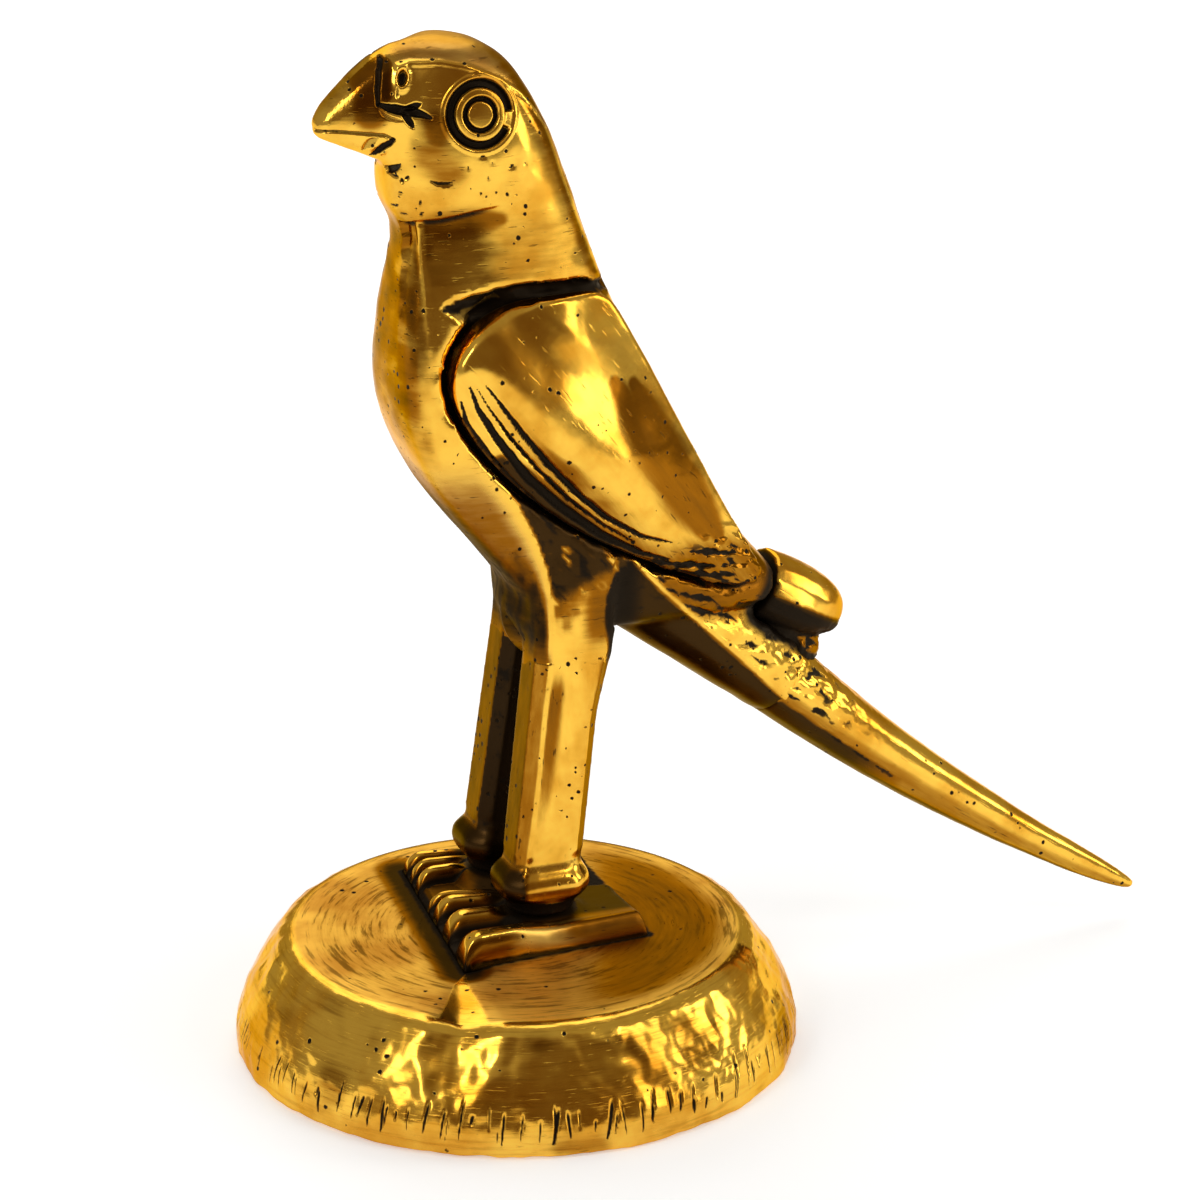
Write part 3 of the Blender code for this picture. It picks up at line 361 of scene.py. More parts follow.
def cast_copy(name, node, cell, smoothing, brazed_to=None, filler=()):
    """A copy of a CAD node with a fine even skin and softened edges, grown into the nodes it is brazed to."""
    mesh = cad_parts[node].data.copy()
    mesh.materials.clear()
    obj = bpy.data.objects.new(name, mesh)
    bpy.context.scene.collection.objects.link(obj)
    pick(obj)
    bpy.ops.object.mode_set(mode="EDIT")
    bpy.ops.mesh.select_all(action="SELECT")
    bpy.ops.mesh.remove_doubles(threshold=0.001 * MM)
    bpy.ops.object.mode_set(mode="OBJECT")
    for other, amount in (brazed_to or {}).items():
        reach_into(mesh, other, amount * MM)
    for y, z, radii in filler:
        pick(obj)
        place = (middle_plane(), y * MM, z * MM)
        bpy.ops.mesh.primitive_uv_sphere_add(segments=32, ring_count=16, radius=1.0, location=place,
                                             scale=Vector(radii) * MM)
        obj.select_set(True)
        bpy.context.view_layer.objects.active = obj
        bpy.ops.object.join()
    modify(obj, "REMESH", mode="VOXEL", voxel_size=cell)
    modify(obj, "SMOOTH", factor=0.5, iterations=smoothing)
    return obj


def refine(obj, inside):
    """Halve the cells of the faces whose middle the test accepts."""
    mesh = obj.data
    middles = np.empty(len(mesh.polygons) * 3)
    mesh.polygons.foreach_get("center", middles)
    chosen = inside(middles.reshape(-1, 3) / MM)
    pick(obj)
    bpy.ops.object.mode_set(mode="EDIT")
    bpy.ops.mesh.select_mode(type="FACE")
    bpy.ops.mesh.select_all(action="DESELECT")
    bpy.ops.object.mode_set(mode="OBJECT")
    mesh.polygons.foreach_set("select", chosen)
    bpy.ops.object.mode_set(mode="EDIT")
    bpy.ops.mesh.subdivide(number_cuts=1, smoothness=0.0)
    bpy.ops.object.mode_set(mode="OBJECT")


def finish_piece(skin, gain, look, slot, *nodes):
    """Write the worked skin with dark hollows to its piece, which takes its look and its CAD nodes' place."""
    skin.settle()
    skin.hollows(gain)
    skin.store()
    obj = pick(skin.obj)
    bpy.ops.object.shade_smooth()
    obj.data.materials.clear()
    obj.data.materials.append(bpy.data.materials[look])
    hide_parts(*nodes)
    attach(obj, "root")


def soft_step(low, high, value):
    share = np.clip((value - low) / (high - low), 0.0, 1.0)
    return share * share * (3.0 - 2.0 * share)


def zone(value, *fades):
    """Product of soft steps, each from the value where it is nothing to the value where it is full."""
    share = 1.0
    for fade in fades:
        share = share * soft_step(*fade, value)
    return share


def rounded(share):
    """Height of a quarter circle at a share of its run, full beyond it."""
    return np.sqrt(1.0 - (1.0 - np.clip(share, 0.0, 1.0)) ** 2)


def narrowed(half, taper, share):
    """Half width of a line at a share of its run, where the ends narrow by the taper."""
    return half * (1.0 - taper * abs(2.0 * share - 1.0) ** 2.5)


def line_distance(points, line):
    """Distance of points from a polyline, and the share of its run where the nearest place is."""
    line = np.array(line, float)
    runs = np.linalg.norm(np.diff(line, axis=0), axis=1)
    total = runs.sum()
    best = np.full(len(points), np.inf)
    share = np.zeros(len(points))
    start = 0.0
    for a, b, run in zip(line, line[1:], runs):
        along = np.clip((points - a) @ (b - a) / run ** 2, 0.0, 1.0)
        gap = np.linalg.norm(points - a - along[:, None] * (b - a), axis=1)
        nearer = gap < best
        best = np.where(nearer, gap, best)
        share = np.where(nearer, (start + along * run) / total, share)
        start += run
    return best, share


class Skin:
    """A piece's surface while it is worked: points in millimetres, how far each is pushed, and how dark it is. Its
    patina, tone and haze layers hold real patina and dullness, and also painted shade and painted reflections.
    """

    def __init__(self, obj, middle=None):
        mesh = obj.data
        self.obj = obj
        self.points = np.empty(len(mesh.vertices) * 3)
        mesh.vertices.foreach_get("co", self.points)
        self.points = self.points.reshape(-1, 3) / MM
        self.middle = middle
        self.folded = middle is not None
        self.measure()
        self.push, self.patina_and_shade, self.tone, self.haze_and_sheen = np.zeros((4, len(self.points)))
        edges = np.empty(len(mesh.edges) * 2, int)
        mesh.edges.foreach_get("vertices", edges)
        self.ends = edges.reshape(-1, 2).T
        self.links = np.maximum(np.bincount(edges, minlength=len(self.points)), 1)

    def measure(self):
        """Normals and places of the points, folded about the bird's middle plane, and how far they face out."""
        normals = np.empty(len(self.points) * 3)
        self.obj.data.vertex_normals.foreach_get("vector", normals)
        self.normals = normals.reshape(-1, 3)
        self.places = self.points.copy()
        self.facing = np.ones(len(self.points))
        if self.folded:
            out = self.points[:, 0] - self.middle / MM
            self.places[:, 0] = abs(out)
            self.facing = self.normals[:, 0] * np.sign(out)

    def around(self, values):
        """Mean of each point's neighbours."""
        a, b = self.ends
        total = np.bincount(a, values[b], len(self.points)) + np.bincount(b, values[a], len(self.points))
        return total / self.links

    def pull(self):
        """Way from each point to the middle of its neighbours."""
        return np.stack([self.around(self.points[:, k]) for k in range(3)], axis=1) - self.points

    def soften(self, mask, passes):
        """Round off the skin under a mask."""
        for i in range(passes):
            self.points += self.pull() * 0.5 * mask[:, None]
        self.settle()

    def wavy(self, mask, size, stretch=1.0, turn=0.0):
        """Noise at the points under a mask, drawn out along a direction in side view."""
        index = np.nonzero(mask > 0.02)[0]
        c, s = math.cos(turn), math.sin(turn)
        values = np.zeros(len(self.points))
        for i in index:
            x, y, z = self.points[i] / size
            spot = Vector((x, (y * c + z * s) / stretch, z * c - y * s))
            values[i] = noise.noise(spot) + 0.5 * noise.noise(spot * 2.3)
        return values

    def reach(self, line):
        """Distance from a line, and how far along it. Two numbers a point are in side view on the bird, where only
        skin that faces out counts, and in plan view on a piece that isn't folded about the middle plane."""
        if len(line[0]) == 3:
            return line_distance(self.places, line)
        if not self.folded:
            gap, share = line_distance(self.places[:, :2], line)
            return np.where(self.normals[:, 2] > -0.2, gap, np.inf), share
        gap, share = line_distance(self.places[:, 1:], line)
        return np.where(self.facing > FACES_OUT, gap, np.inf), share

    def oval(self, centre, radii, turn):
        """Distance from the middle of an oval in side view, as a share of its radii."""
        c, s = math.cos(turn), math.sin(turn)
        across = (self.places[:, 1:] - np.array(centre)) @ np.array([[c, -s], [s, c]])
        return np.linalg.norm(across / np.array(radii), axis=1)

    def groove(self, line, half, depth, dark=1.0, taper=0.0, flat=0.45, ragged=0.1):
        """Cut a groove whose ends narrow by the taper, with a rounded floor over the flat share of its width."""
        gap, share = self.reach(line)
        gap = gap + ragged * half * self.wavy((gap < 2.0 * half).astype(float), 1.5)
        width = narrowed(half, taper, share)
        cut = 1.0 - soft_step(flat, 1.0, gap / width)
        self.push -= depth * cut * width / half
        self.darken(dark * (1.0 - soft_step(0.7, 1.15, gap / width)))

    def ridge(self, line, half, height, start=1.0, end=1.0):
        """Raise a ridge whose width and height go from a start share to an end share of the full ones, and clear
        every layer along its crest as a painted highlight line on the edge.
        """
        gap, share = self.reach(line)
        part = np.maximum(start + (end - start) * share, 0.02)
        crest = 1.0 - soft_step(0.0, 1.0, gap / (half * part))
        self.push += height * part * crest
        self.clean(crest)

    def ledge(self, line, depth, fall, edge=0.35):
        """Let the skin below a line fall back, the most right under it, and darken the skin just under the line
        with painted shade of the overhang.
        """
        gap, share = self.reach(line)
        line = np.array(line)
        above = self.places[:, 2] - np.interp(self.places[:, 1], line[:, 0], line[:, 1])
        under = 1.0 - soft_step(-edge, edge, above)
        ends = 1.0 - soft_step(0.55, 1.0, share)
        self.push -= depth * under * ends * np.exp(-gap / fall) * (gap < 4 * fall)
        self.darken(0.9 * under * ends * (1.0 - soft_step(0.3, 1.4, gap)))

    def ring(self, centre, radius, half, depth, dark=0.0, start=0.0, end=360.0):
        """Cut a round groove in side view, or raise a ring where the depth is negative."""
        away = self.places[:, 1:] - np.array(centre)
        gap = abs(np.linalg.norm(away, axis=1) - radius)
        angle = np.degrees(np.arctan2(away[:, 1], away[:, 0])) % 360.0
        ends = soft_step(start, start + 14.0, angle) * (1.0 - soft_step(end - 10.0, end, angle))
        if end - start >= 360.0:
            ends = 1.0
        ends = np.where(self.facing > FACES_OUT, ends, 0.0)
        self.push -= depth * ends * (1.0 - soft_step(0.45, 1.0, gap / half))
        self.darken(dark * ends * (1.0 - soft_step(0.7, 1.1, gap / half)))

    def disc(self, centre, radii, depth, dark=0.0, turn=0.0, edge=0.4):
        """Sink a round or oval patch in side view, or raise it where the depth is negative."""
        gap = self.oval(centre, radii, turn)
        inside = np.where(self.facing > FACES_OUT, 1.0 - soft_step(1.0 - edge, 1.0 + edge, gap), 0.0)
        self.push -= depth * inside
        self.darken(dark * inside)

    def swell(self, centre, radii, height, turn):
        """Raise a smooth oval dome in side view."""
        dome = np.clip(1.0 - self.oval(centre, radii, turn) ** 2, 0.0, 1.0) ** 1.5
        self.push += np.where(self.facing > FACES_OUT, height * dome, 0.0)

    def shade(self, line, half, amount, taper=0.0, fade=0.0):
        """Lay brown tone along a line, narrower at its ends by the taper and paler at its end by the fade; it
        serves for thin patina and for painted shade and painted dark reflections.
        """
        gap, share = self.reach(line)
        width = narrowed(half, taper, share)
        amount = amount * (1.0 - fade * share ** 1.5)
        self.tone = np.maximum(self.tone, amount * (1.0 - soft_step(0.2, 1.0, gap / width)))

    # Darkens through the patina layer: patina in cuts and joints, and painted shade where it is laid on undersides
    # and under overhangs
    def darken(self, mask):
        self.patina_and_shade = np.maximum(self.patina_and_shade, mask)

    def clean(self, mask):
        """Clear every layer under a mask: polish on the base's facet, and a painted highlight line along ridge
        crests.
        """
        for layer in (self.tone, self.patina_and_shade, self.haze_and_sheen):
            layer *= 1.0 - mask

    def shade_where(self, mask, amount):
        self.tone = np.maximum(self.tone, amount * mask)

    def dull_where(self, mask, amount):
        self.haze_and_sheen = np.maximum(self.haze_and_sheen, amount * mask)

    def rough(self, mask, size, depth, stretch=1.0, turn=0.0):
        """Casting texture: lumps of a size, with patina in the hollows."""
        lumps = self.wavy(mask, size, stretch, turn)
        self.push += depth * lumps * mask
        self.darken(mask * soft_step(0.12, 0.45, -lumps) * 0.95)

    def waves(self, size, depth):
        """Slightly uneven polish all over."""
        self.push += depth * self.wavy(np.ones(len(self.points)), size)

    def seams(self, reach, *nodes):
        """Darken the skin where another piece lies against it."""
        for node in nodes:
            tree = node_tree(node)
            low, high = (np.array(corner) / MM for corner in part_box(node))
            close = np.all((self.points > low - reach) & (self.points < high + reach), axis=1)
            for i in np.nonzero(close)[0]:
                gap = tree.find_nearest(Vector(self.points[i]) * MM, reach * MM)[3]
                if gap is not None:
                    dark = 1.0 - max(0.0, gap / MM - 0.35 * reach) / (0.65 * reach)
                    self.patina_and_shade[i] = max(self.patina_and_shade[i], dark)

    def hollows(self, gain, passes=3):
        """Darken hollows with patina and clear the tone from raised edges as a painted highlight, by how far each
        point lies under its neighbours.
        """
        sunk = (self.pull() * self.normals).sum(axis=1)
        for i in range(passes):
            sunk = self.around(sunk)
        self.patina_and_shade = np.clip(self.patina_and_shade + gain * np.maximum(sunk, 0.0), 0.0, 1.0)
        self.tone = np.clip(self.tone - gain * np.maximum(-sunk, 0.0), 0.0, 1.0)

    def settle(self):
        """Move the points by their push."""
        self.points += self.normals * self.push[:, None]
        self.push[:] = 0.0
        mesh = self.obj.data
        mesh.vertices.foreach_set("co", (self.points * MM).ravel())
        mesh.update()
        self.measure()

    def store(self):
        for name, values in (("patina_and_shade", self.patina_and_shade), ("tone", self.tone), ("haze_and_sheen", self.haze_and_sheen)):
            layer = self.obj.data.attributes.new(name, "FLOAT", "POINT")
            layer.data.foreach_set("value", np.clip(values, 0.0, 1.0))


# Materials

def set_inputs(tree, node, inputs):
    for key, value in inputs.items():
        if isinstance(value, bpy.types.NodeSocket):
            tree.links.new(value, node.inputs[key])
        else:
            node.inputs[key].default_value = value


def add_node(tree, kind, inputs=None, **settings):
    made = tree.nodes.new(kind)
    for key, value in settings.items():
        setattr(made, key, value)
    set_inputs(tree, made, inputs or {})
    return made


def math_node(tree, operation, a, b=0.0, clamp=False):
    return add_node(tree, "ShaderNodeMath", {0: a, 1: b}, operation=operation, use_clamp=clamp).outputs[0]


def plus(tree, a, b, clamp=False):
    return math_node(tree, "ADD", a, b, clamp)


def minus(tree, a, b):
    return math_node(tree, "SUBTRACT", a, b)


def times(tree, a, b):
    return math_node(tree, "MULTIPLY", a, b)


def larger(tree, a, b):
    return math_node(tree, "MAXIMUM", a, b)


def ramp(tree, value, low, high, start=0.0, end=1.0):
    made = add_node(tree, "ShaderNodeMapRange", {"Value": value, "From Min": low, "From Max": high,
                                                 "To Min": start, "To Max": end}, interpolation_type="SMOOTHSTEP")
    return made.outputs[0]


def mix_colours(tree, share, a, b):
    return add_node(tree, "ShaderNodeMix", {0: share, 6: a, 7: b}, data_type="RGBA").outputs[2]


def vector_node(tree, operation, output, *vectors):
    return add_node(tree, "ShaderNodeVectorMath", dict(enumerate(vectors)), operation=operation).outputs[output]


def noise_value(tree, vector, scale, detail=3.0, roughness=0.55):
    made = add_node(tree, "ShaderNodeTexNoise", {"Vector": vector, "Scale": scale, "Detail": detail,
                                                 "Roughness": roughness})
    return made.outputs[0]


def new_look(name):
    """A new material, its node tree, its shader and the object's own coordinates."""
    look = bpy.data.materials.new(name)
    look.use_nodes = True
    tree = look.node_tree
    return look, tree, tree.nodes["Principled BSDF"], add_node(tree, "ShaderNodeTexCoord").outputs["Object"]


def group(name, inputs, outputs):
    """A new node group; inputs and outputs are name and socket type pairs."""
    tree = bpy.data.node_groups.new(name, "ShaderNodeTree")
    for way, sockets in (("INPUT", inputs), ("OUTPUT", outputs)):
        for label, kind in sockets.items():
            tree.interface.new_socket(label, in_out=way, socket_type="NodeSocket" + kind)
    return tree, tree.nodes.new("NodeGroupInput").outputs, tree.nodes.new("NodeGroupOutput").inputs


def use_group(tree, name, inputs):
    return add_node(tree, "ShaderNodeGroup", inputs, node_tree=bpy.data.node_groups[name]).outputs


def make_pit_group():
    """Small casting pits of random size, in clusters."""
    tree, given, wanted = group("casting_pits", {"Vector": "Vector", "Scale": "Float", "Share": "Float"},
                                {"Mask": "Float"})
    wobble = times(tree, minus(tree, noise_value(tree, given["Vector"], PIT_BEND_SCALE, 2.0), 0.5), PIT_BEND)
    cells = add_node(tree, "ShaderNodeTexVoronoi", {"Vector": given["Vector"], "Scale": given["Scale"],
                                                    "Randomness": 1.0}).outputs
    chance = add_node(tree, "ShaderNodeSeparateColor", {0: cells["Color"]}).outputs
    cluster = ramp(tree, noise_value(tree, given["Vector"], PIT_CLUSTER_SCALE, 2.0), *PIT_CLUSTERS)
    chosen = math_node(tree, "LESS_THAN", chance[0], times(tree, given["Share"], cluster))
    gap = minus(tree, plus(tree, cells["Distance"], wobble), ramp(tree, chance[1], 0.0, 1.0, *PIT_SIZES))
    tree.links.new(times(tree, ramp(tree, gap, *PIT_EDGE), chosen), wanted["Mask"])


def make_brush_group():
    """Fine streaks along the direction in which the stretch is small."""
    tree, given, wanted = group("brush_marks", {"Vector": "Vector", "Stretch": "Vector"},
                                {"Streaks": "Float", "Scratches": "Float"})
    along = vector_node(tree, "MULTIPLY", 0, given["Vector"], given["Stretch"])
    tree.links.new(noise_value(tree, along, 1.0, 5.0, 0.6), wanted["Streaks"])
    fine = noise_value(tree, along, SCRATCH_SCALE, 2.0, 0.5)
    tree.links.new(ramp(tree, fine, *SCRATCH_EDGE), wanted["Scratches"])


def make_tarnish_group():
    """Uneven polish: broad patches and small cloudy spots."""
    tree, given, wanted = group("tarnish", {"Vector": "Vector"}, {"Patches": "Float", "Spots": "Float"})
    for name, scale, detail, roughness, low, high in TARNISH:
        cloud = noise_value(tree, given["Vector"], scale, detail, roughness)
        tree.links.new(ramp(tree, cloud, low, high), wanted[name])


def turned_place(tree, place):
    """Coordinates that run round the upright axis, so that brush marks lie in rings."""
    parts = add_node(tree, "ShaderNodeSeparateXYZ", {0: place}).outputs
    flat = add_node(tree, "ShaderNodeCombineXYZ", {0: parts[0], 1: parts[1]}).outputs[0]
    spread = minus(tree, vector_node(tree, "LENGTH", "Value", flat), parts[2])
    ring = add_node(tree, "ShaderNodeSeparateXYZ", {0: vector_node(tree, "NORMALIZE", 0, flat)}).outputs
    return add_node(tree, "ShaderNodeCombineXYZ", {0: ring[0], 1: ring[1], 2: spread}).outputs[0]


def brass(name, stretch, pit_scale, pit_share, streak, turned=False, turn=0.0, dulling=(0.8, 0.3)):
    """Polished brass with patina from the piece's own patina, tone and haze layers, which also carry painted shade
    and painted reflections.
    """
    colours = bpy.context.scene.falcon_colours
    tree, shader, place = new_look(name)[1:]
    strokes = place
    if turned:
        strokes = turned_place(tree, place)
    elif turn:
        strokes = add_node(tree, "ShaderNodeVectorRotate", {"Vector": place, "Angle": turn},
                           rotation_type="X_AXIS").outputs[0]
    patina_and_shade, tone, haze_and_sheen = (add_node(tree, "ShaderNodeAttribute", attribute_name=layer).outputs["Fac"]
                          for layer in ("patina_and_shade", "tone", "haze_and_sheen"))
    pits = use_group(tree, "casting_pits", {"Vector": place, "Scale": pit_scale, "Share": pit_share})["Mask"]
    brush = use_group(tree, "brush_marks", {"Vector": strokes, "Stretch": stretch})
    tarnish = use_group(tree, "tarnish", {"Vector": place})
    worn = plus(tree, times(tree, tarnish["Patches"], PATCH_WEAR),
                times(tree, ramp(tree, brush["Streaks"], *STREAK_EDGE), streak), True)
    gold = mix_colours(tree, worn, (*colours.gold, 1.0), (*colours.amber, 1.0))
    dulled = mix_colours(tree, times(tree, haze_and_sheen, dulling[0]), gold, (*colours.haze_and_sheen, 1.0))
    ragged = times(tree, minus(tree, brush["Streaks"], 0.5), TONE_RAGGED)
    toned = plus(tree, tone, times(tree, ragged, ramp(tree, tone, *TONE_START)))
    scratched = times(tree, brush["Scratches"], ramp(tree, tone, *TONE_SCRATCHES))
    thin = larger(tree, ramp(tree, toned, *TONE_BROWN), scratched)
    if turned:
        cuts = times(tree, ramp(tree, brush["Streaks"], *RING_CUTS), ramp(tree, haze_and_sheen, *RING_CUT_HAZE))
        thin = larger(tree, thin, cuts)
    warmed = mix_colours(tree, ramp(tree, toned, *TONE_WARM), dulled, (*colours.umber, 1.0))
    browned = mix_colours(tree, thin, warmed, (*colours.brown, 1.0))
    cloud = times(tree, minus(tree, tarnish["Spots"], 0.4), PATINA_CLOUD)
    edge = plus(tree, patina_and_shade, times(tree, cloud, math_node(tree, "GREATER_THAN", patina_and_shade, 0.05)))
    dark = larger(tree, ramp(tree, edge, *PATINA_EDGE), pits)
    rough = BRASS_ROUGHNESS
    for layer, share in zip((tarnish["Patches"], thin, haze_and_sheen, brush["Scratches"], dark),
                            (PATCH_ROUGHNESS, BROWN_ROUGHNESS, dulling[1], SCRATCH_ROUGHNESS, DARK_ROUGHNESS)):
        rough = plus(tree, rough, times(tree, layer, share), layer == dark)
    height = times(tree, noise_value(tree, place, RELIEF_SCALE, 2.0), 0.5)
    for layer, share in ((brush["Streaks"], 0.04 + 0.5 * streak), (brush["Scratches"], -0.1), (pits, -0.9)):
        height = plus(tree, height, times(tree, layer, share))
    bump = add_node(tree, "ShaderNodeBump", {"Height": height, "Strength": 0.4, "Distance": RELIEF_DEPTH})
    set_inputs(tree, shader, {
        "Base Color": mix_colours(tree, dark, browned, (*colours.black, 1.0)),
        "Specular IOR Level": 0.15,
        "Specular Tint": (*colours.rim, 1.0),
        "Metallic": minus(tree, 1.0, times(tree, dark, DARK_METAL_LOSS)),
        "Roughness": rough,
        "Normal": bump.outputs[0],
    })


def steel():
    tree, shader, place = new_look("zinc_steel")[1:]
    spangle = noise_value(tree, place, SPANGLE_SCALE, 4.0)
    tone = bpy.context.scene.falcon_colours.steel
    dull = [0.7 * part for part in tone]
    colour_mix = mix_colours(tree, ramp(tree, spangle, 0.4, 0.6), (*tone, 1.0), (*dull, 1.0))
    set_inputs(tree, shader, {"Base Color": colour_mix, "Metallic": 1.0,
                              "Roughness": ramp(tree, spangle, 0.3, 0.7, 0.25, 0.45)})


def felt():
    tree, shader, place = new_look("wool_felt")[1:]
    fibres = noise_value(tree, place, FIBRE_SCALE, 6.0, 0.7)
    tone = bpy.context.scene.falcon_colours.felt
    pale = [min(1.0, 2.2 * part + 0.01) for part in tone]
    colour_mix = mix_colours(tree, ramp(tree, fibres, 0.35, 0.75), (*tone, 1.0), (*pale, 1.0))
    bump = add_node(tree, "ShaderNodeBump", {"Height": fibres, "Strength": 0.6, "Distance": FIBRE_DEPTH})
    set_inputs(tree, shader, {"Base Color": colour_mix, "Roughness": 0.95, "Sheen Weight": 0.4,
                              "Normal": bump.outputs[0]})


def middle_plane():
    low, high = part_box("body")
    return (low.x + high.x) / 2


def hip_flare(skin):
    """How far the backs of the legs and thighs flare out under the belly."""
    return HIP_FLARE * zone(skin.points[:, 2], *HIP_FLARE_UP) * soft_step(0.3, 0.8, skin.normals[:, 1])


# Pieces

class FALCON_OT_body(bpy.types.Operator):
    """Body casting with head, beak, neck, breast, thighs and rump"""
    bl_idname = "falcon.body"
    bl_label = "Body"

    def execute(self, context):
        sizes = context.scene.falcon_sizes
        obj = cast_copy("falcon_body", "body", sizes.body_cell, 10, BODY_REACH, [CROTCH_WEB])
        refine(obj, lambda p: p[:, 2] > FINE_HEAD)
        refine(obj, lambda p: (np.linalg.norm(p[:, 1:] - np.array(EYE), axis=1) < FINE_EYE)
               | ((p[:, 1] < FINE_BEAK[0]) & (p[:, 2] > FINE_BEAK[1])))
        skin = Skin(obj, middle_plane())
        self.meet_legs(skin)
        skin.waves(6.5, 0.11)
        self.tint_head(skin)
        self.tint_breast(skin)
        self.tint_rump(skin)
        skin.seams(sizes.seam_reach / MM, "left_wing", "right_wing")
        # Painted shade below the wing tips
        skin.seams(sizes.nub_shade_reach / MM, "wing_tips")
        self.carve_head(skin, sizes)
        self.carve_trunk(skin)
        finish_piece(skin, 1.2, "cast_brass", "bird_brass", "body")
        return {"FINISHED"}

    def meet_legs(self, skin):
        """Bring the ends of the thighs onto the sides of the legs that they run into."""
        met = np.zeros(len(skin.points))
        for node, side in (("left_leg", 1.0), ("right_leg", -1.0)):
            tree = node_tree(node)
            low, high = (np.array(corner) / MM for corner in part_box(node))
            points = skin.points
            close = np.all((points[:, :2] > low[:2] - 1.5) & (points[:, :2] < high[:2] + 1.5), axis=1)
            close &= (points[:, 2] < HIP_BLEND[0]) & (abs(skin.normals[:, 2]) < 0.75)
            for i in np.nonzero(close)[0]:
                x, y, z = points[i]
                rise = max(z - LEG_SECTION, 0.0)
                level = Vector((x + side * LEG_LEAN[0] * rise, y + LEG_LEAN[1] * rise, min(z, LEG_SECTION))) * MM
                shift = (tree.find_nearest(level)[0] - level) / MM
                met[i] = soft_step(*HIP_BLEND, z)
                points[i, :2] += np.array(shift)[:2] * met[i]
        skin.settle()
        skin.push += met * np.interp(skin.points[:, 2], *HIP_LIFT)
        skin.push += hip_flare(skin) * soft_step(*FLARE_END, skin.points[:, 1])

    def tint_head(self, skin):
        y, height = skin.points[:, 1], skin.points[:, 2]
        front = soft_step(*BODY_FRONT, -skin.normals[:, 1])
        crown = soft_step(*CROWN_FACING, skin.normals[:, 2]) * soft_step(*CROWN_UP, height)
        nape = soft_step(*NAPE_FACING, skin.normals[:, 1]) * soft_step(*NAPE_UP, height)
        # Pale dull brown on the up-facing crown: patina and a painted pale reflection
        skin.dull_where(crown * soft_step(*CROWN_BACK, y), 0.6)
        skin.shade_where(crown, 0.25)
        # Brown on the back-facing nape: painted dark reflection
        skin.shade_where(nape, 0.45)
        # Brown band on the neck sides: thin patina and a painted dark reflection
        skin.shade_where(zone(height, *NECK_SIDE), 0.22)
        # Brown bands, the one below the jaw being painted shade
        for band in HEAD_SHADES:
            skin.shade(*band)
        skin.shade_where(front * zone(height, *NECK_FRONT) * (0.8 + 0.6 * skin.wavy(front, 5.0, 0.5)), 0.6)
        # Brown on skin that faces down below the breast: painted shade
        skin.shade_where(soft_step(*UNDER_FACING, -skin.normals[:, 2]) * soft_step(*UNDERSIDE, height), 1.0)

    def tint_breast(self, skin):
        """Dull brown ahead of the breast edge, painted grazing reflection and shade on the breast front, and dark
        flanks and thighs behind it, painted shade under the wing.
        """
        y, height = skin.points[:, 1], skin.points[:, 2]
        edge = np.array(BREAST_EDGE)[::-1]
        edge_y = np.interp(height, edge[:, 2], edge[:, 1])
        behind = soft_step(-0.3, 0.6, y - edge_y) * soft_step(*FLANK_TOP, height)
        ahead = (edge_y - y) / np.interp(height, *BREAST_FADE)
        before = soft_step(0.0, 1.0, ahead) * soft_step(*LOW_BREAST, height)
        before = before * (0.55 + 0.45 * soft_step(*HIP_FADE, height))
        skin.dull_where(before, 0.8)
        skin.shade_where(before * (0.5 + 0.5 * soft_step(*BROWN_BREAST, height)), 0.9)
        lower = before * soft_step(*LOWER_BREAST, height)
        skin.darken(lower * (0.58 + 0.3 * skin.wavy(lower, 1.2, 4.0, 1.35)))
        low = np.array(FLANK_LOW)
        over = 2.2 * skin.wavy(behind, 3.0) + height - np.interp(y, low[:, 0], low[:, 1])
        flank = behind * soft_step(-7.0, 0.6, over) * (skin.facing > 0.1) * soft_step(*FLANK_END, y)
        lumps = skin.wavy(flank, 0.8, 4.0, -0.85)
        skin.shade_where(flank * (1.0 - 0.8 * soft_step(0.35, 0.7, lumps)), 1.0)
        skin.push += 0.14 * flank * lumps
        thigh = behind * zone(height, *THIGH) * (skin.facing > 0.1)
        skin.shade_where(thigh * soft_step(-0.1, 0.6, skin.wavy(thigh, 2.2, 2.5, 1.35)), 0.42)
        skin.shade_where(thigh * soft_step(*THIGH_BACK, y), 0.6)
        skin.darken(flank * (0.24 + 0.55 * soft_step(0.0, 0.5, -lumps)))

    def tint_rump(self, skin):
        """Black under the arch of the thigh and brown under the rump, both painted shade, and rough brazing round
        the tail's root.
        """
        y, height = skin.points[:, 1], skin.points[:, 2]
        arch, chine = np.array(ARCH)[::-1], np.array(CHINE)
        hidden = soft_step(-0.3, 0.4, y - np.interp(height, arch[:, 1], arch[:, 0]))
        hidden = hidden * soft_step(*ARCH_TOP, height) * soft_step(*ARCH_END, y)
        belly = soft_step(0.2, -0.5, height - np.interp(y, chine[:, 0], chine[:, 1])) * soft_step(*BELLY_START, y)
        for mask, dark in ((hidden, 0.85), (belly, 0.33)):
            skin.shade_where(mask, 1.0)
            skin.darken(dark * mask)
        skin.push -= TAIL_SINK * soft_step(-1.4, 1.6, TAIL_AXIS[0] * y - TAIL_AXIS[1] * height) * (y > 30.0)
        away = skin.reach(RUMP_ROUGH)[0]
        skin.rough(1.0 - soft_step(2.0, 6.0, away), 1.25, 0.35, 2.2, -0.5)

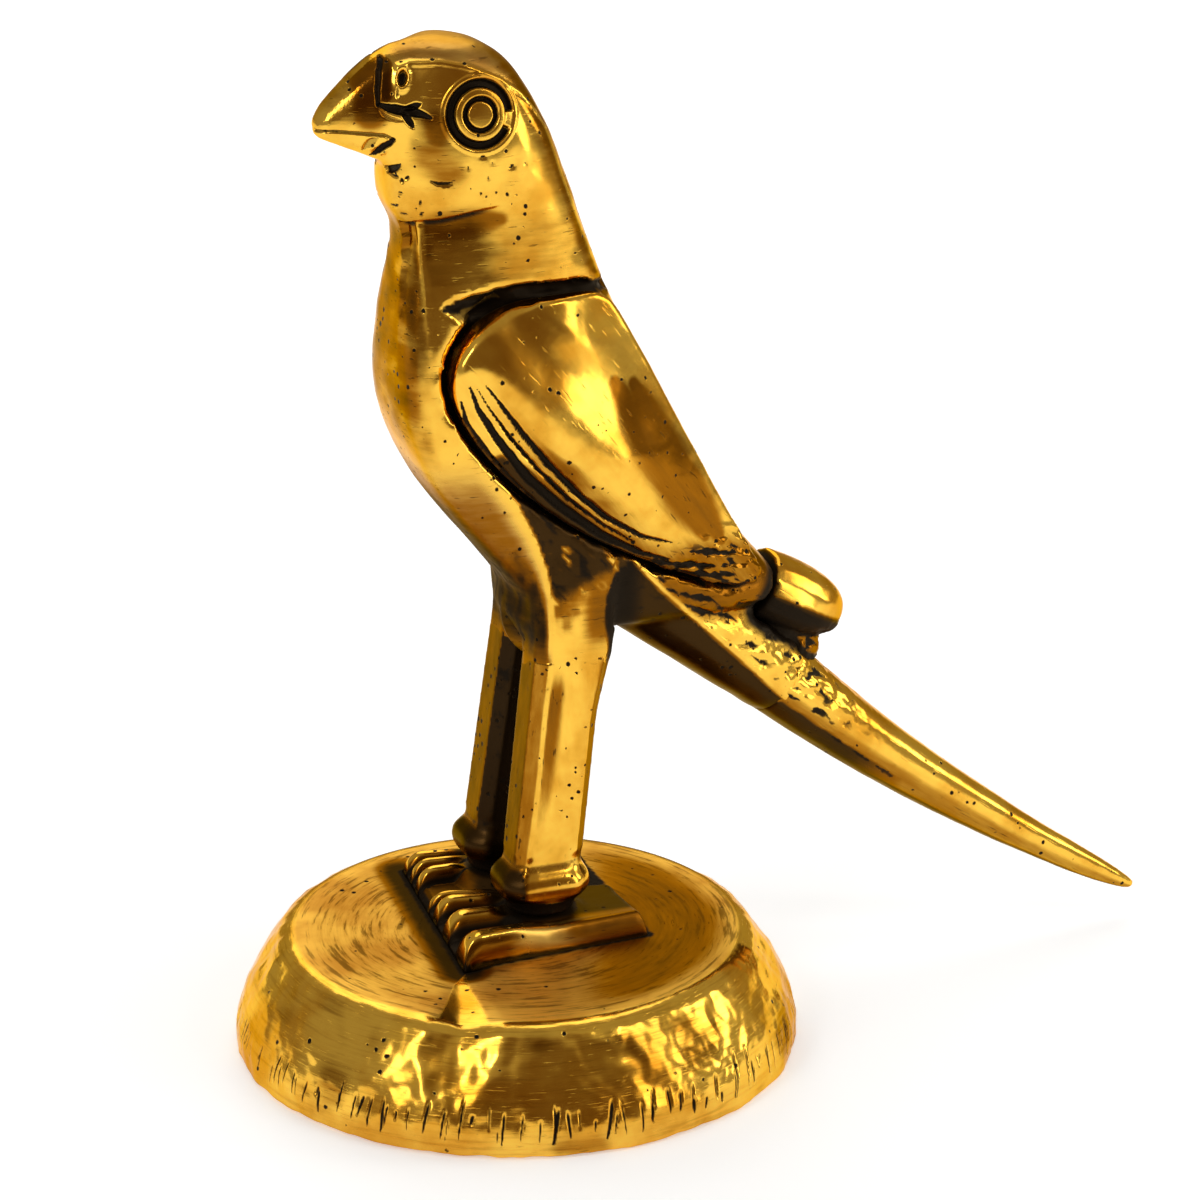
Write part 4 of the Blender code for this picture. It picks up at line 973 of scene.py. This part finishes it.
    def carve_head(self, skin, sizes):
        disc, ring, outer = (size / MM for size in (sizes.eye_disc, sizes.eye_ring, sizes.eye_outer))
        skin.disc(EYE, (4.6, 4.6), 0.15)
        skin.ring(EYE, outer, 0.62, 0.75, 1.0, -8.0, 336.0)
        skin.ring(EYE, (disc + ring - 0.5) / 2 + 0.1, 0.4, 0.6, 1.0, -1.0, 361.0)
        skin.ring(EYE, ring, 0.55, -0.2)
        skin.ring(EYE, outer + 0.85, 0.35, -0.12)
        skin.disc(NOSTRIL, (1.0, 1.5), -0.25, 0.0, -0.35)
        skin.disc(NOSTRIL, (0.5, 0.85), 0.8, 1.0, -0.35)
        for cut in HEAD_CUTS:
            skin.groove(*cut)
        for i, spot in enumerate(CHEEK_PITS):
            size = 0.19 + 0.14 * noise.noise(Vector((i * 1.37, 0.2, 0.4)))
            skin.disc(spot, (1.7 * size, size), 0.14, 0.95, 0.9 * i)
        skin.ridge(BROW, 0.75, 0.3, 1.0, 0.3)
        skin.ridge(NAPE, 1.0, 0.14, 0.3, 0.5)

    def carve_trunk(self, skin):
        skin.ledge(JAW, 1.1, 6.0)
        for cut in SHOULDER_CUTS:
            skin.groove(*cut)
        skin.ridge(NECK_EDGE, 1.1, 0.5, 1.0, 0.1)
        skin.ridge(BREAST_EDGE, 0.7, 0.35, 0.5, 1.0)
        for line in RUMP_LINES:
            skin.groove(line, 0.5, 0.4, 1.0, 0.7, 0.45, 0.9)
        skin.ridge(CHINE, 0.6, 0.3)


class FALCON_OT_wings(bpy.types.Operator):
    """Folded wings with long feather grooves along their front edge"""
    bl_idname = "falcon.wings"
    bl_label = "Wings"

    def execute(self, context):
        sizes = context.scene.falcon_sizes
        for node in ("left_wing", "right_wing"):
            skin = Skin(cast_copy("falcon_" + node, node, sizes.wing_cell, 20), middle_plane())
            skin.waves(5.5, 0.06)
            self.raise_covert(skin)
            self.carve(skin)
            skin.seams(sizes.seam_reach / MM, "body", "wing_tips")
            finish_piece(skin, 1.2, "wing_brass", "bird_brass", node)
        return {"FINISHED"}

    def raise_covert(self, skin):
        """Swell the wing and tilt the smooth covert above its lower edge."""
        y, height = skin.points[:, 1], skin.points[:, 2]
        skin.swell(WING_MIDDLE, WING_SWELL, 1.0, -0.9)
        edge = np.array(COVERT_EDGE)
        above = height - np.interp(y, edge[:, 0], edge[:, 1])
        above = np.where(above < 0.0, above / np.interp(y, *COVERT_SPREAD), above)
        past = (y - COVERT_CREST[0]) * COVERT_WAY[0] + (height - COVERT_CREST[1]) * COVERT_WAY[1]
        covert = soft_step(*COVERT_END, past) * (skin.facing > 0.1)
        skin.push += covert * np.interp(above, *COVERT_TILT)
        skin.push += 0.015 * skin.wavy(covert, 2.4) * covert
        skin.settle()
        skin.soften(covert * zone(above, *COVERT_SOFT), 50)

    def carve(self, skin):
        skin.shade(FEATHER_SHADE, 3.8, 0.95, 0.6)
        # Orange-brown bands along the rear edge: painted dark reflection
        for line in REAR_BANDS:
            skin.shade(line, 4.6, 0.54, 0.7)
        for half, line in zip(FEATHER_WIDTHS, FEATHERS):
            skin.groove(line, half, 0.6, 1.0, 0.7, 0.45, 0.12)
        for line in RUMP_LINES:
            skin.groove(line, 0.5, 0.35, 1.0, 0.7, 0.45, 0.9)
        rump = soft_step(*WING_RUMP[0], skin.points[:, 1]) * soft_step(*WING_RUMP[1], skin.points[:, 2])
        rump = rump * (skin.facing > 0.1)
        skin.rough(rump, 1.1, 0.36, 2.4, -0.4)
        skin.shade_where(rump, 0.45)
        skin.patina_and_shade *= soft_step(5.0, 7.0, skin.places[:, 0])
        # Brown on skin that faces down: painted shade
        skin.shade_where(soft_step(0.2, 0.5, -skin.normals[:, 2]), 0.75)


class FALCON_OT_tail(bpy.types.Operator):
    """Long spike tail and the wing tips above its root"""
    bl_idname = "falcon.tail"
    bl_label = "Tail and wing tips"

    def execute(self, context):
        sizes = context.scene.falcon_sizes
        tail = Skin(cast_copy("falcon_tail", "tail", sizes.tail_cell, 14, LIMB_REACH), middle_plane())
        self.work_tail(tail, self.under(tail))
        # Painted shade on the tail below the wing tips
        tail.seams(sizes.nub_shade_reach / MM, "wing_tips")
        tips = Skin(cast_copy("falcon_wing_tips", "wing_tips", sizes.tail_cell, 14, {}, NUB_WEBS), middle_plane())
        self.work_tips(tips, self.under(tips))
        tips.seams(sizes.seam_reach / MM, "body", "tail", "left_wing", "right_wing")
        for node, skin in (("tail", tail), ("wing_tips", tips)):
            finish_piece(skin, 1.2, "tail_brass", "bird_brass", node)
        return {"FINISHED"}

    def under(self, skin):
        """How far the skin faces the underside of the sloping tail, once it is given a slightly uneven polish."""
        skin.waves(6.0, 0.05)
        return -skin.normals @ np.array([0.0, math.sin(TAIL_SLOPE), math.cos(TAIL_SLOPE)])

    def work_tail(self, skin, under):
        y = skin.points[:, 1]
        skin.soften(zone(y, *TAIL_SOFT), 90)
        for line in TAIL_MARKS:
            skin.groove(line, 0.3, 0.2, 0.75, 0.6, 0.45, 0.9)
        # Brown on the lower side and dark brown on the underside, most near the root: painted shade
        skin.shade_where(soft_step(-0.25, 0.2, under), 0.35)
        skin.rough(np.where(under < 0.15, soft_step(*TAIL_ROUGH, y), 0.0), 1.3, 0.25, 1.8, -0.6)
        skin.shade_where(soft_step(0.1, 0.3, under) * soft_step(*TAIL_BROWN, y), 1.0)
        skin.shade_where(soft_step(0.55, 0.85, under), 0.85)

    def work_tips(self, skin, under):
        web = soft_step(*NUB_WEB_TOP, skin.points[:, 2])
        skin.rough(web, 1.2, 0.3)
        # Brown on the web in the corner below the wing tips: painted shade
        skin.shade_where(web, 0.55)
        # Brown and black on the underside of the wing tips: painted shade
        skin.shade_where(soft_step(-0.3, 0.0, under), 1.0)
        skin.darken(0.85 * soft_step(-0.15, 0.15, under))


class FALCON_OT_legs(bpy.types.Operator):
    """Faceted legs with a rounded ankle ring"""
    bl_idname = "falcon.legs"
    bl_label = "Legs"

    def execute(self, context):
        sizes = context.scene.falcon_sizes
        for node in ("left_leg", "right_leg"):
            skin = Skin(cast_copy("falcon_" + node, node, sizes.limb_cell, 4, LIMB_REACH), middle_plane())
            climb = skin.points[:, 2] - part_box(node)[0].z / MM
            skin.soften(zone(climb, *ANKLE), 50)
            self.tint(skin, climb)
            skin.push -= LEG_TOP_SINK * soft_step(*LEG_SINK, skin.points[:, 2])
            skin.push += hip_flare(skin)
            skin.ridge(LEG_EDGE, 0.5, 0.2)
            skin.seams(sizes.seam_reach / MM, "feet_block")
            finish_piece(skin, 2.0, "leg_brass", "bird_brass", node)
        return {"FINISHED"}

    def tint(self, skin, climb):
        height = skin.points[:, 2]
        front, inner, back = -skin.normals[:, 1], -skin.facing, skin.normals[:, 1]
        shank = soft_step(*SHANK, climb)
        # Strip beside the front edge: painted dark reflection
        skin.shade(LEG_STRIP, 2.0, 0.7, 0.4, 0.9)
        skin.tone *= soft_step(*STRIP_TOP, height)
        # Dull brown on the forward-facing facets and chamfer: painted dark reflection
        skin.dull_where(shank * soft_step(*LEG_FRONT, front), 0.2)
        skin.shade_where(shank * soft_step(*LEG_CHAMFER, front), 0.42)
        skin.shade_where(shank * soft_step(*LEG_FRONT, front), 0.72)
        skin.darken(shank * soft_step(*LEG_CORNER, front) * (0.08 + 0.26 * soft_step(*SHANK_HIGH, height)))
        # Brown on the back faces, and brown and black on the inner faces: painted shade
        skin.shade_where(shank * soft_step(*LEG_BACK, back), 0.75)
        skin.shade_where(soft_step(*LEG_INNER, inner), 1.0)
        skin.darken(0.62 * shank * soft_step(*LEG_INNER, inner))
        # Front, inner and underside of the ankle ring: painted shade; the black neck below it: patina and painted
        # shade
        skin.shade_where((1.0 - shank) * soft_step(0.1, 0.5, np.maximum(front, inner)), 0.95)
        skin.shade_where((1.0 - shank) * soft_step(0.3, 0.6, -skin.normals[:, 2]), 1.0)
        skin.darken(soft_step(*ANKLE_NECK, climb))
        skin.darken(0.5 * zone(climb, *ANKLE_TOP))


class FALCON_OT_feet(bpy.types.Operator):
    """Both feet in one block, with rounded toes"""
    bl_idname = "falcon.feet"
    bl_label = "Feet"

    def toe_profile(self, place, tip):
        """Height across the toes and how near each place is to a crest; the tip share rounds the ends."""
        height = np.zeros(len(place))
        crest = np.zeros(len(place))
        for left, right, tall, middle in TOES:
            share = (place - left) / (right - left)
            rise = np.where(share < middle, share / middle, (1.0 - share) / (1.0 - middle))
            shrink = 0.4 * (1.0 - tip)
            rise = np.clip((rise - shrink) / (1.0 - shrink), 0.0, 1.0)
            height = np.maximum(height, tall * np.sqrt(1.0 - (1.0 - rise) ** 2.2))
            crest = np.maximum(crest, rise)
        return height, crest

    def back_profile(self, place):
        """Height across the heels."""
        far = np.clip((place - FOOT_BACK[0]) / (FOOT_BACK[1] - FOOT_BACK[0]), 0.0, 1.0)
        near = np.clip((place - FOOT_BACK[2]) / (FOOT_BACK[3] - FOOT_BACK[2]), 0.0, 1.0)
        far_heel = FAR_HEEL * np.sqrt(np.clip(1.0 - (2.0 * far - 1.0) ** 4, 0.0, 1.0))
        edge = np.minimum(near / 0.1, (1.0 - near) / 0.1)
        near_heel = (NEAR_HEEL[0] + NEAR_HEEL[1] * near ** 2) * rounded(edge)
        return np.where(place > FOOT_BACK[2], near_heel, far_heel)

    def execute(self, context):
        sizes = context.scene.falcon_sizes
        bpy.ops.object.select_all(action="DESELECT")
        bpy.ops.mesh.primitive_grid_add(x_subdivisions=FEET_CELLS[0], y_subdivisions=FEET_CELLS[1], size=1.0)
        obj = context.object
        obj.name = "falcon_feet"
        mesh = obj.data
        spots = np.empty(len(mesh.vertices) * 3)
        mesh.vertices.foreach_get("co", spots)
        across, run = (spots.reshape(-1, 3)[:, k] + 0.5 for k in range(2))
        front_x, back_x = (np.interp(across, FOOT_KNOTS, line) for line in (FOOT_FRONT, FOOT_BACK))
        front_y = np.interp(front_x, *zip(*TOE_LINE))
        heel_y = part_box("feet_block")[1].y / MM
        x = front_x + (back_x - front_x) * run
        y = front_y + (heel_y - front_y) * run
        tip = rounded((y - front_y) / TOE_END)
        toes, crest = self.toe_profile(front_x, tip)
        web = (front_x > FOOT_FRONT[1]) & (front_x < FOOT_FRONT[2])
        floor = np.where(web, WEB_HEIGHT, TOE_FLOOR)
        height = np.maximum(toes * tip, floor * soft_step(0.0, 1.2, y - front_y))
        heel = self.back_profile(back_x) * rounded((heel_y - y) / HEEL_END)
        height = height + (heel - height) * soft_step(*HEEL_FADE, run)
        for ankle_x, ankle_y in ANKLES:
            away = np.hypot(x - ankle_x, y - ankle_y)
            height += (ANKLE_PAD - height) * (1.0 - soft_step(*ANKLE_FADE, away))
        border = (across < 0.001) | (across > 0.999) | (run < 0.001) | (run > 0.999)
        height = np.where(border, FEET_SINK, height)
        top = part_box("base")[1].z / MM
        mesh.vertices.foreach_set("co", (np.stack([x, y, top + height], axis=1) * MM).ravel())
        mesh.update()
        self.close(obj)
        skin = Skin(obj)
        skin.soften(np.where(border, 0.0, 1.0), 3)
        groove = (1.0 - soft_step(0.05, 0.5, crest)) * (1.0 - soft_step(*GROOVE_FADE, run))
        outer = soft_step(*OUTER_TOE, front_x)
        skin.patina_and_shade = np.where(web | (front_x > FEET_SIDES[1]) | (front_x < FEET_SIDES[0]), 0.0, groove)
        skin.darken(0.9 * soft_step(1.2, 0.4, height))
        skin.shade_where(soft_step(0.16, 0.34, run) * (1.0 - outer), 1.0)
        skin.shade_where(soft_step(0.35, 0.7, run) * outer, 0.6)
        skin.shade_where(soft_step(0.2, 0.8, 1.0 - crest) * soft_step(0.45, 0.2, run), 0.7)
        skin.dull_where(soft_step(0.16, 0.4, run), 0.5)
        skin.dull_where(web * 1.0, 0.9)
        skin.waves(4.0, 0.06)
        skin.seams(sizes.seam_reach / MM, "left_leg", "right_leg")
        finish_piece(skin, 2.0, "cast_brass", "bird_brass", "feet_block")
        return {"FINISHED"}

    def close(self, obj):
        """Close the underside and turn all faces outward."""
        pick(obj)
        bpy.ops.object.mode_set(mode="EDIT")
        bpy.ops.mesh.select_mode(type="EDGE")
        bpy.ops.mesh.select_all(action="DESELECT")
        bpy.ops.mesh.select_non_manifold()
        bpy.ops.mesh.edge_face_add()
        bpy.ops.mesh.select_all(action="SELECT")
        bpy.ops.mesh.normals_make_consistent(inside=False)
        bpy.ops.object.mode_set(mode="OBJECT")


class FALCON_OT_base(bpy.types.Operator):
    """Turned base with a rounded flank and chisel marks round its foot"""
    bl_idname = "falcon.base"
    bl_label = "Base"

    def outline(self, sizes):
        """Radius and height down the outside of the base and back up its hollow."""
        low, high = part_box("base")
        felt_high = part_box("felt_pad")[1]
        radius, top, rim = high.x, high.z, low.z
        rounding = sizes.base_rounding
        points = [(r, top) for r in np.linspace(0.0, radius - sizes.base_spread - rounding, BASE_CELLS[0])]
        flank = top - rounding - sizes.base_band - rim
        spread = sizes.base_spread - rounding / 2
        for climb in np.linspace(1.0, 0.0, BASE_CELLS[1]):
            points.append((radius - spread * climb ** sizes.base_power, rim + sizes.base_band + flank * climb))
        for height in np.linspace(sizes.base_band, FOOT_BREAK * MM, BASE_CELLS[2])[1:]:
            points.append((radius, rim + height))
        seat, seat_top = felt_high.x + FELT_GAP * MM, felt_high.z + FELT_GAP * MM
        hollow, ceiling = seat - FELT_LEDGE * MM, top - BASE_WALL * MM
        return points + [(radius - FOOT_BREAK * MM, rim), (seat, rim), (seat, seat_top), (hollow, seat_top),
                         (hollow, ceiling), (0.0, ceiling)]

    def execute(self, context):
        sizes = context.scene.falcon_sizes
        points = self.outline(sizes)
        mesh = bpy.data.meshes.new("falcon_base")
        mesh.from_pydata([(r, 0.0, z) for r, z in points], [(i, i + 1) for i in range(len(points) - 1)], [])
        obj = bpy.data.objects.new("falcon_base", mesh)
        context.scene.collection.objects.link(obj)
        modify(obj, "SCREW", angle=math.tau, steps=sizes.base_steps, render_steps=sizes.base_steps,
               use_merge_vertices=True, merge_threshold=0.005 * MM, use_normal_calculate=True)
        refine(obj, lambda p: (np.hypot(p[:, 0], p[:, 1]) > FINE_FLANK[0]) & (p[:, 2] > FINE_FLANK[1])
               & (p[:, 2] < FINE_FLANK[2]))
        skin = Skin(obj)
        self.tint(skin, np.hypot(skin.points[:, 0], skin.points[:, 1]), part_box("base")[1].z / MM)
        self.chisel(skin, sizes)
        on_top = skin.points[:, 2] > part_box("base")[1].z / MM - 1.0
        skin.push -= 0.45 * (1.0 - soft_step(*TOE_DIP, skin.reach(TOE_LINE)[0])) * on_top
        # Brown that fades out from the toe line: painted shade in front of the toes
        skin.shade(TOE_LINE, 5.2, 1.0)
        skin.seams(sizes.seam_reach / MM, "feet_block")
        self.facet(skin)
        finish_piece(skin, 1.0, "turned_brass", "base_brass", "base")
        return {"FINISHED"}

    def tint(self, skin, radius, top):
        """Hammered waves and brown patches on the flank, dull brushed top that is darker on one side with a painted
        reflection of the bird.
        """
        height = skin.points[:, 2]
        outside = soft_step(*FLANK, radius)
        skin.push += outside * sum(depth * skin.wavy(outside, size) for size, depth in FLANK_WAVES)
        skin.shade_where(outside * soft_step(0.0, 0.6, skin.wavy(outside, 9.5)), 0.34)
        skin.dull_where(soft_step(top - 1.2, top - 0.8, height) * soft_step(*TOP_HAZE, radius), 0.7)
        skin.dull_where(soft_step(*FOOT_HAZE, height) * outside, 0.12)
        across = soft_step(*RIGHT_FADE, skin.points[:, :2] @ np.array(RIGHT_WAY))
        skin.shade_where((1.0 - outside) * soft_step(*TOP_BROWN, radius), 0.2)
        # Painted reflection of the bird: darker brown on the tail's side of the top
        skin.shade_where((1.0 - outside) * across * soft_step(*RIGHT_BROWN, radius), 0.58)

    def facet(self, skin):
        """Polished patch that widens from the toe corner to the rim, where it dips."""
        gap, share = skin.reach(CORNER_RIDGE)
        skin.push -= 1.1 * share ** 1.5 * (1.0 - soft_step(0.0, 1.0, gap / (1.0 + 5.0 * share)))
        skin.clean(soft_step(1.0, 0.75, gap / (4.2 * np.maximum(share, 0.02))))

    def chisel(self, skin, sizes):
        """Upright chisel marks round the lower flank, no two alike."""
        radius = np.linalg.norm(skin.points[:, :2], axis=1)
        around = np.arctan2(skin.points[:, 1], skin.points[:, 0])
        least, low, high = CHISEL_REACH
        near = np.nonzero((radius > least) & (skin.points[:, 2] > low) & (skin.points[:, 2] < high))[0]
        radius, around, height = radius[near], around[near], skin.points[near, 2]
        for i in range(sizes.chisel_marks):
            chance = [noise.noise(Vector((i * 1.71, 3.1 * k, 0.37))) for k in range(6)]
            turn = math.tau * (i + 1.6 * chance[0]) / sizes.chisel_marks
            tall = max(1.9 + 2.4 * chance[1], CHISEL_LEAST)
            wide = 0.23 + 0.2 * chance[2]
            up = height - CHISEL_HEIGHT - 1.9 * chance[3]
            across = ((around - turn + math.pi) % math.tau - math.pi) * radius - up * (0.1 + 0.3 * chance[4])
            gap = np.sqrt((across / (wide * (1.0 + 0.25 * up / tall))) ** 2 + (up / tall) ** 4)
            cut = 1.0 - soft_step(0.35, 1.1, gap)
            skin.push[near] -= CHISEL_DEPTH * cut
            skin.patina_and_shade[near] = np.maximum(skin.patina_and_shade[near], (0.95 + 0.3 * chance[5]) * cut)


class FALCON_OT_hardware(bpy.types.Operator):
    """Looks of the studs, washers, nuts and felt, which keep their CAD shape"""
    bl_idname = "falcon.hardware"
    bl_label = "Hidden hardware and felt"

    def execute(self, context):
        for name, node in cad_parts.items():
            if name.endswith(("stud", "washer", "nut", "felt_pad")):
                look = "wool_felt" if name == "felt_pad" else "zinc_steel"
                node.data.materials.clear()
                node.data.materials.append(bpy.data.materials[look])
        return {"FINISHED"}


class FALCON_OT_materials(bpy.types.Operator):
    """Node groups and materials that the pieces share"""
    bl_idname = "falcon.materials"
    bl_label = "Materials"

    def execute(self, context):
        make_pit_group()
        make_brush_group()
        make_tarnish_group()
        for name, finish in FINISHES.items():
            brass(name, *finish)
        steel()
        felt()
        return {"FINISHED"}


class FALCON_OT_stage(bpy.types.Operator):
    """Floor, studio lights and the camera"""
    bl_idname = "falcon.stage"
    bl_label = "Stage"

    def execute(self, context):
        stage = context.scene.falcon_stage
        turn, tilt = stage.azimuth, stage.elevation
        right = Vector((math.cos(turn), math.sin(turn), 0.0))
        level = Vector((-math.sin(turn), math.cos(turn), 0.0))
        ahead = level * math.cos(tilt) - Vector((0.0, 0.0, math.sin(tilt)))
        self.make_floor(stage, level)
        aim = right * stage.aim_right + Vector((0.0, 0.0, stage.aim_height))
        self.make_camera(stage, aim, ahead)
        self.make_world(level)
        for name, settings in LIGHTS.items():
            self.make_light(name, aim, level, *settings)
        return {"FINISHED"}

    def make_camera(self, stage, aim, ahead):
        data = bpy.data.cameras.new("camera")
        data.lens = stage.lens
        data.sensor_width = 36.0
        data.clip_start = 0.01
        bpy.context.scene.camera = self.put("camera", data, aim - ahead * stage.distance, ahead)

    def put(self, name, data, place, way):
        """A camera or light at a place, looking along a way."""
        obj = bpy.data.objects.new(name, data)
        bpy.context.scene.collection.objects.link(obj)
        obj.location = place
        obj.rotation_euler = way.to_track_quat("-Z", "Y").to_euler()
        return obj

    def make_light(self, name, aim, level, turn, height, size, power):
        """An oval softbox a metre from the aim point, turned to the right of the camera and raised, in degrees."""
        turn, height = math.radians(turn), math.radians(height)
        toward = Matrix.Rotation(turn, 3, "Z") @ -level
        place = aim + toward * math.cos(height) + Vector((0.0, 0.0, math.sin(height)))
        data = bpy.data.lights.new(name, "AREA")
        data.shape = "ELLIPSE"
        data.size, data.size_y = size
        data.energy = power
        self.put(name, data, place, aim - place)

    def make_floor(self, stage, level):
        """A round pale floor that keeps its shadow and glows where the camera or the metal sees it."""
        bpy.ops.object.select_all(action="DESELECT")
        bpy.ops.mesh.primitive_circle_add(vertices=96, radius=stage.floor_radius, fill_type="NGON")
        floor = bpy.context.object
        floor.name = "floor"
        look, tree, shader, place = new_look("floor")
        rays = add_node(tree, "ShaderNodeLightPath").outputs
        seen = larger(tree, rays["Is Camera Ray"], rays["Is Glossy Ray"])
        seen = larger(tree, seen, rays["Is Transmission Ray"])
        away = vector_node(tree, "LENGTH", "Value", place)
        shifted = vector_node(tree, "DISTANCE", "Value", place, tuple(level * stage.floor_shift))
        glow = times(tree, ramp(tree, away, *AXIS_GLOW), ramp(tree, shifted, *BACK_GLOW))
        set_inputs(tree, shader, {
            "Base Color": (*bpy.context.scene.falcon_colours.floor, 1.0),
            "Roughness": 0.9,
            "Specular IOR Level": 0.0,
            "Emission Color": FLOOR_GLOW,
            "Emission Strength": times(tree, seen, glow),
        })
        floor.data.materials.append(look)

    def make_world(self, level):
        """A pale tent that is open and darker on the camera's side."""
        world = bpy.data.worlds.new("studio")
        world.use_nodes = True
        tree = world.node_tree
        front = Matrix.Rotation(math.radians(TENT_TURN), 3, "Z") @ -level + Vector((0.0, 0.0, TENT_RISE))
        way = add_node(tree, "ShaderNodeTexCoord").outputs["Generated"]
        opening = ramp(tree, vector_node(tree, "DOT_PRODUCT", "Value", way, front.normalized()), *TENT_EDGE)
        set_inputs(tree, tree.nodes["Background"], {
            "Color": mix_colours(tree, opening, TENT, TENT_OPENING),
            "Strength": ramp(tree, opening, 0.0, 1.0, *TENT_STRENGTH),
        })
        bpy.context.scene.world = world


class FALCON_PT_panel(bpy.types.Panel):
    """Sizes, colours and the steps that build the figurine"""
    bl_idname = "FALCON_PT_panel"
    bl_label = "Brass falcon"
    bl_space_type = "VIEW_3D"
    bl_region_type = "UI"
    bl_category = "Falcon"

    def draw(self, context):
        for group_name in ("falcon_sizes", "falcon_colours", "falcon_stage"):
            settings = getattr(context.scene, group_name)
            box = self.layout.box()
            for key in settings.__annotations__:
                box.prop(settings, key)
        for step in STEPS:
            self.layout.operator(step.bl_idname)


STEPS = (FALCON_OT_materials, FALCON_OT_stage, FALCON_OT_base, FALCON_OT_feet, FALCON_OT_legs, FALCON_OT_body,
         FALCON_OT_wings, FALCON_OT_tail, FALCON_OT_hardware)
CLASSES = (FalconSizes, FalconColours, FalconStage, *STEPS, FALCON_PT_panel)


def register():
    for item in CLASSES:
        bpy.utils.register_class(item)
    bpy.types.Scene.falcon_sizes = PointerProperty(type=FalconSizes)
    bpy.types.Scene.falcon_colours = PointerProperty(type=FalconColours)
    bpy.types.Scene.falcon_stage = PointerProperty(type=FalconStage)


def unregister():
    del bpy.types.Scene.falcon_stage
    del bpy.types.Scene.falcon_colours
    del bpy.types.Scene.falcon_sizes
    for item in reversed(CLASSES):
        bpy.utils.unregister_class(item)


def main():
    register()
    bpy.context.scene.view_settings.view_transform = "Standard"
    bpy.ops.falcon.materials()
    bpy.ops.falcon.stage()
    bpy.ops.falcon.base()
    bpy.ops.falcon.feet()
    bpy.ops.falcon.legs()
    bpy.ops.falcon.body()
    bpy.ops.falcon.wings()
    bpy.ops.falcon.tail()
    bpy.ops.falcon.hardware()


if __name__ == "__main__":
    main()
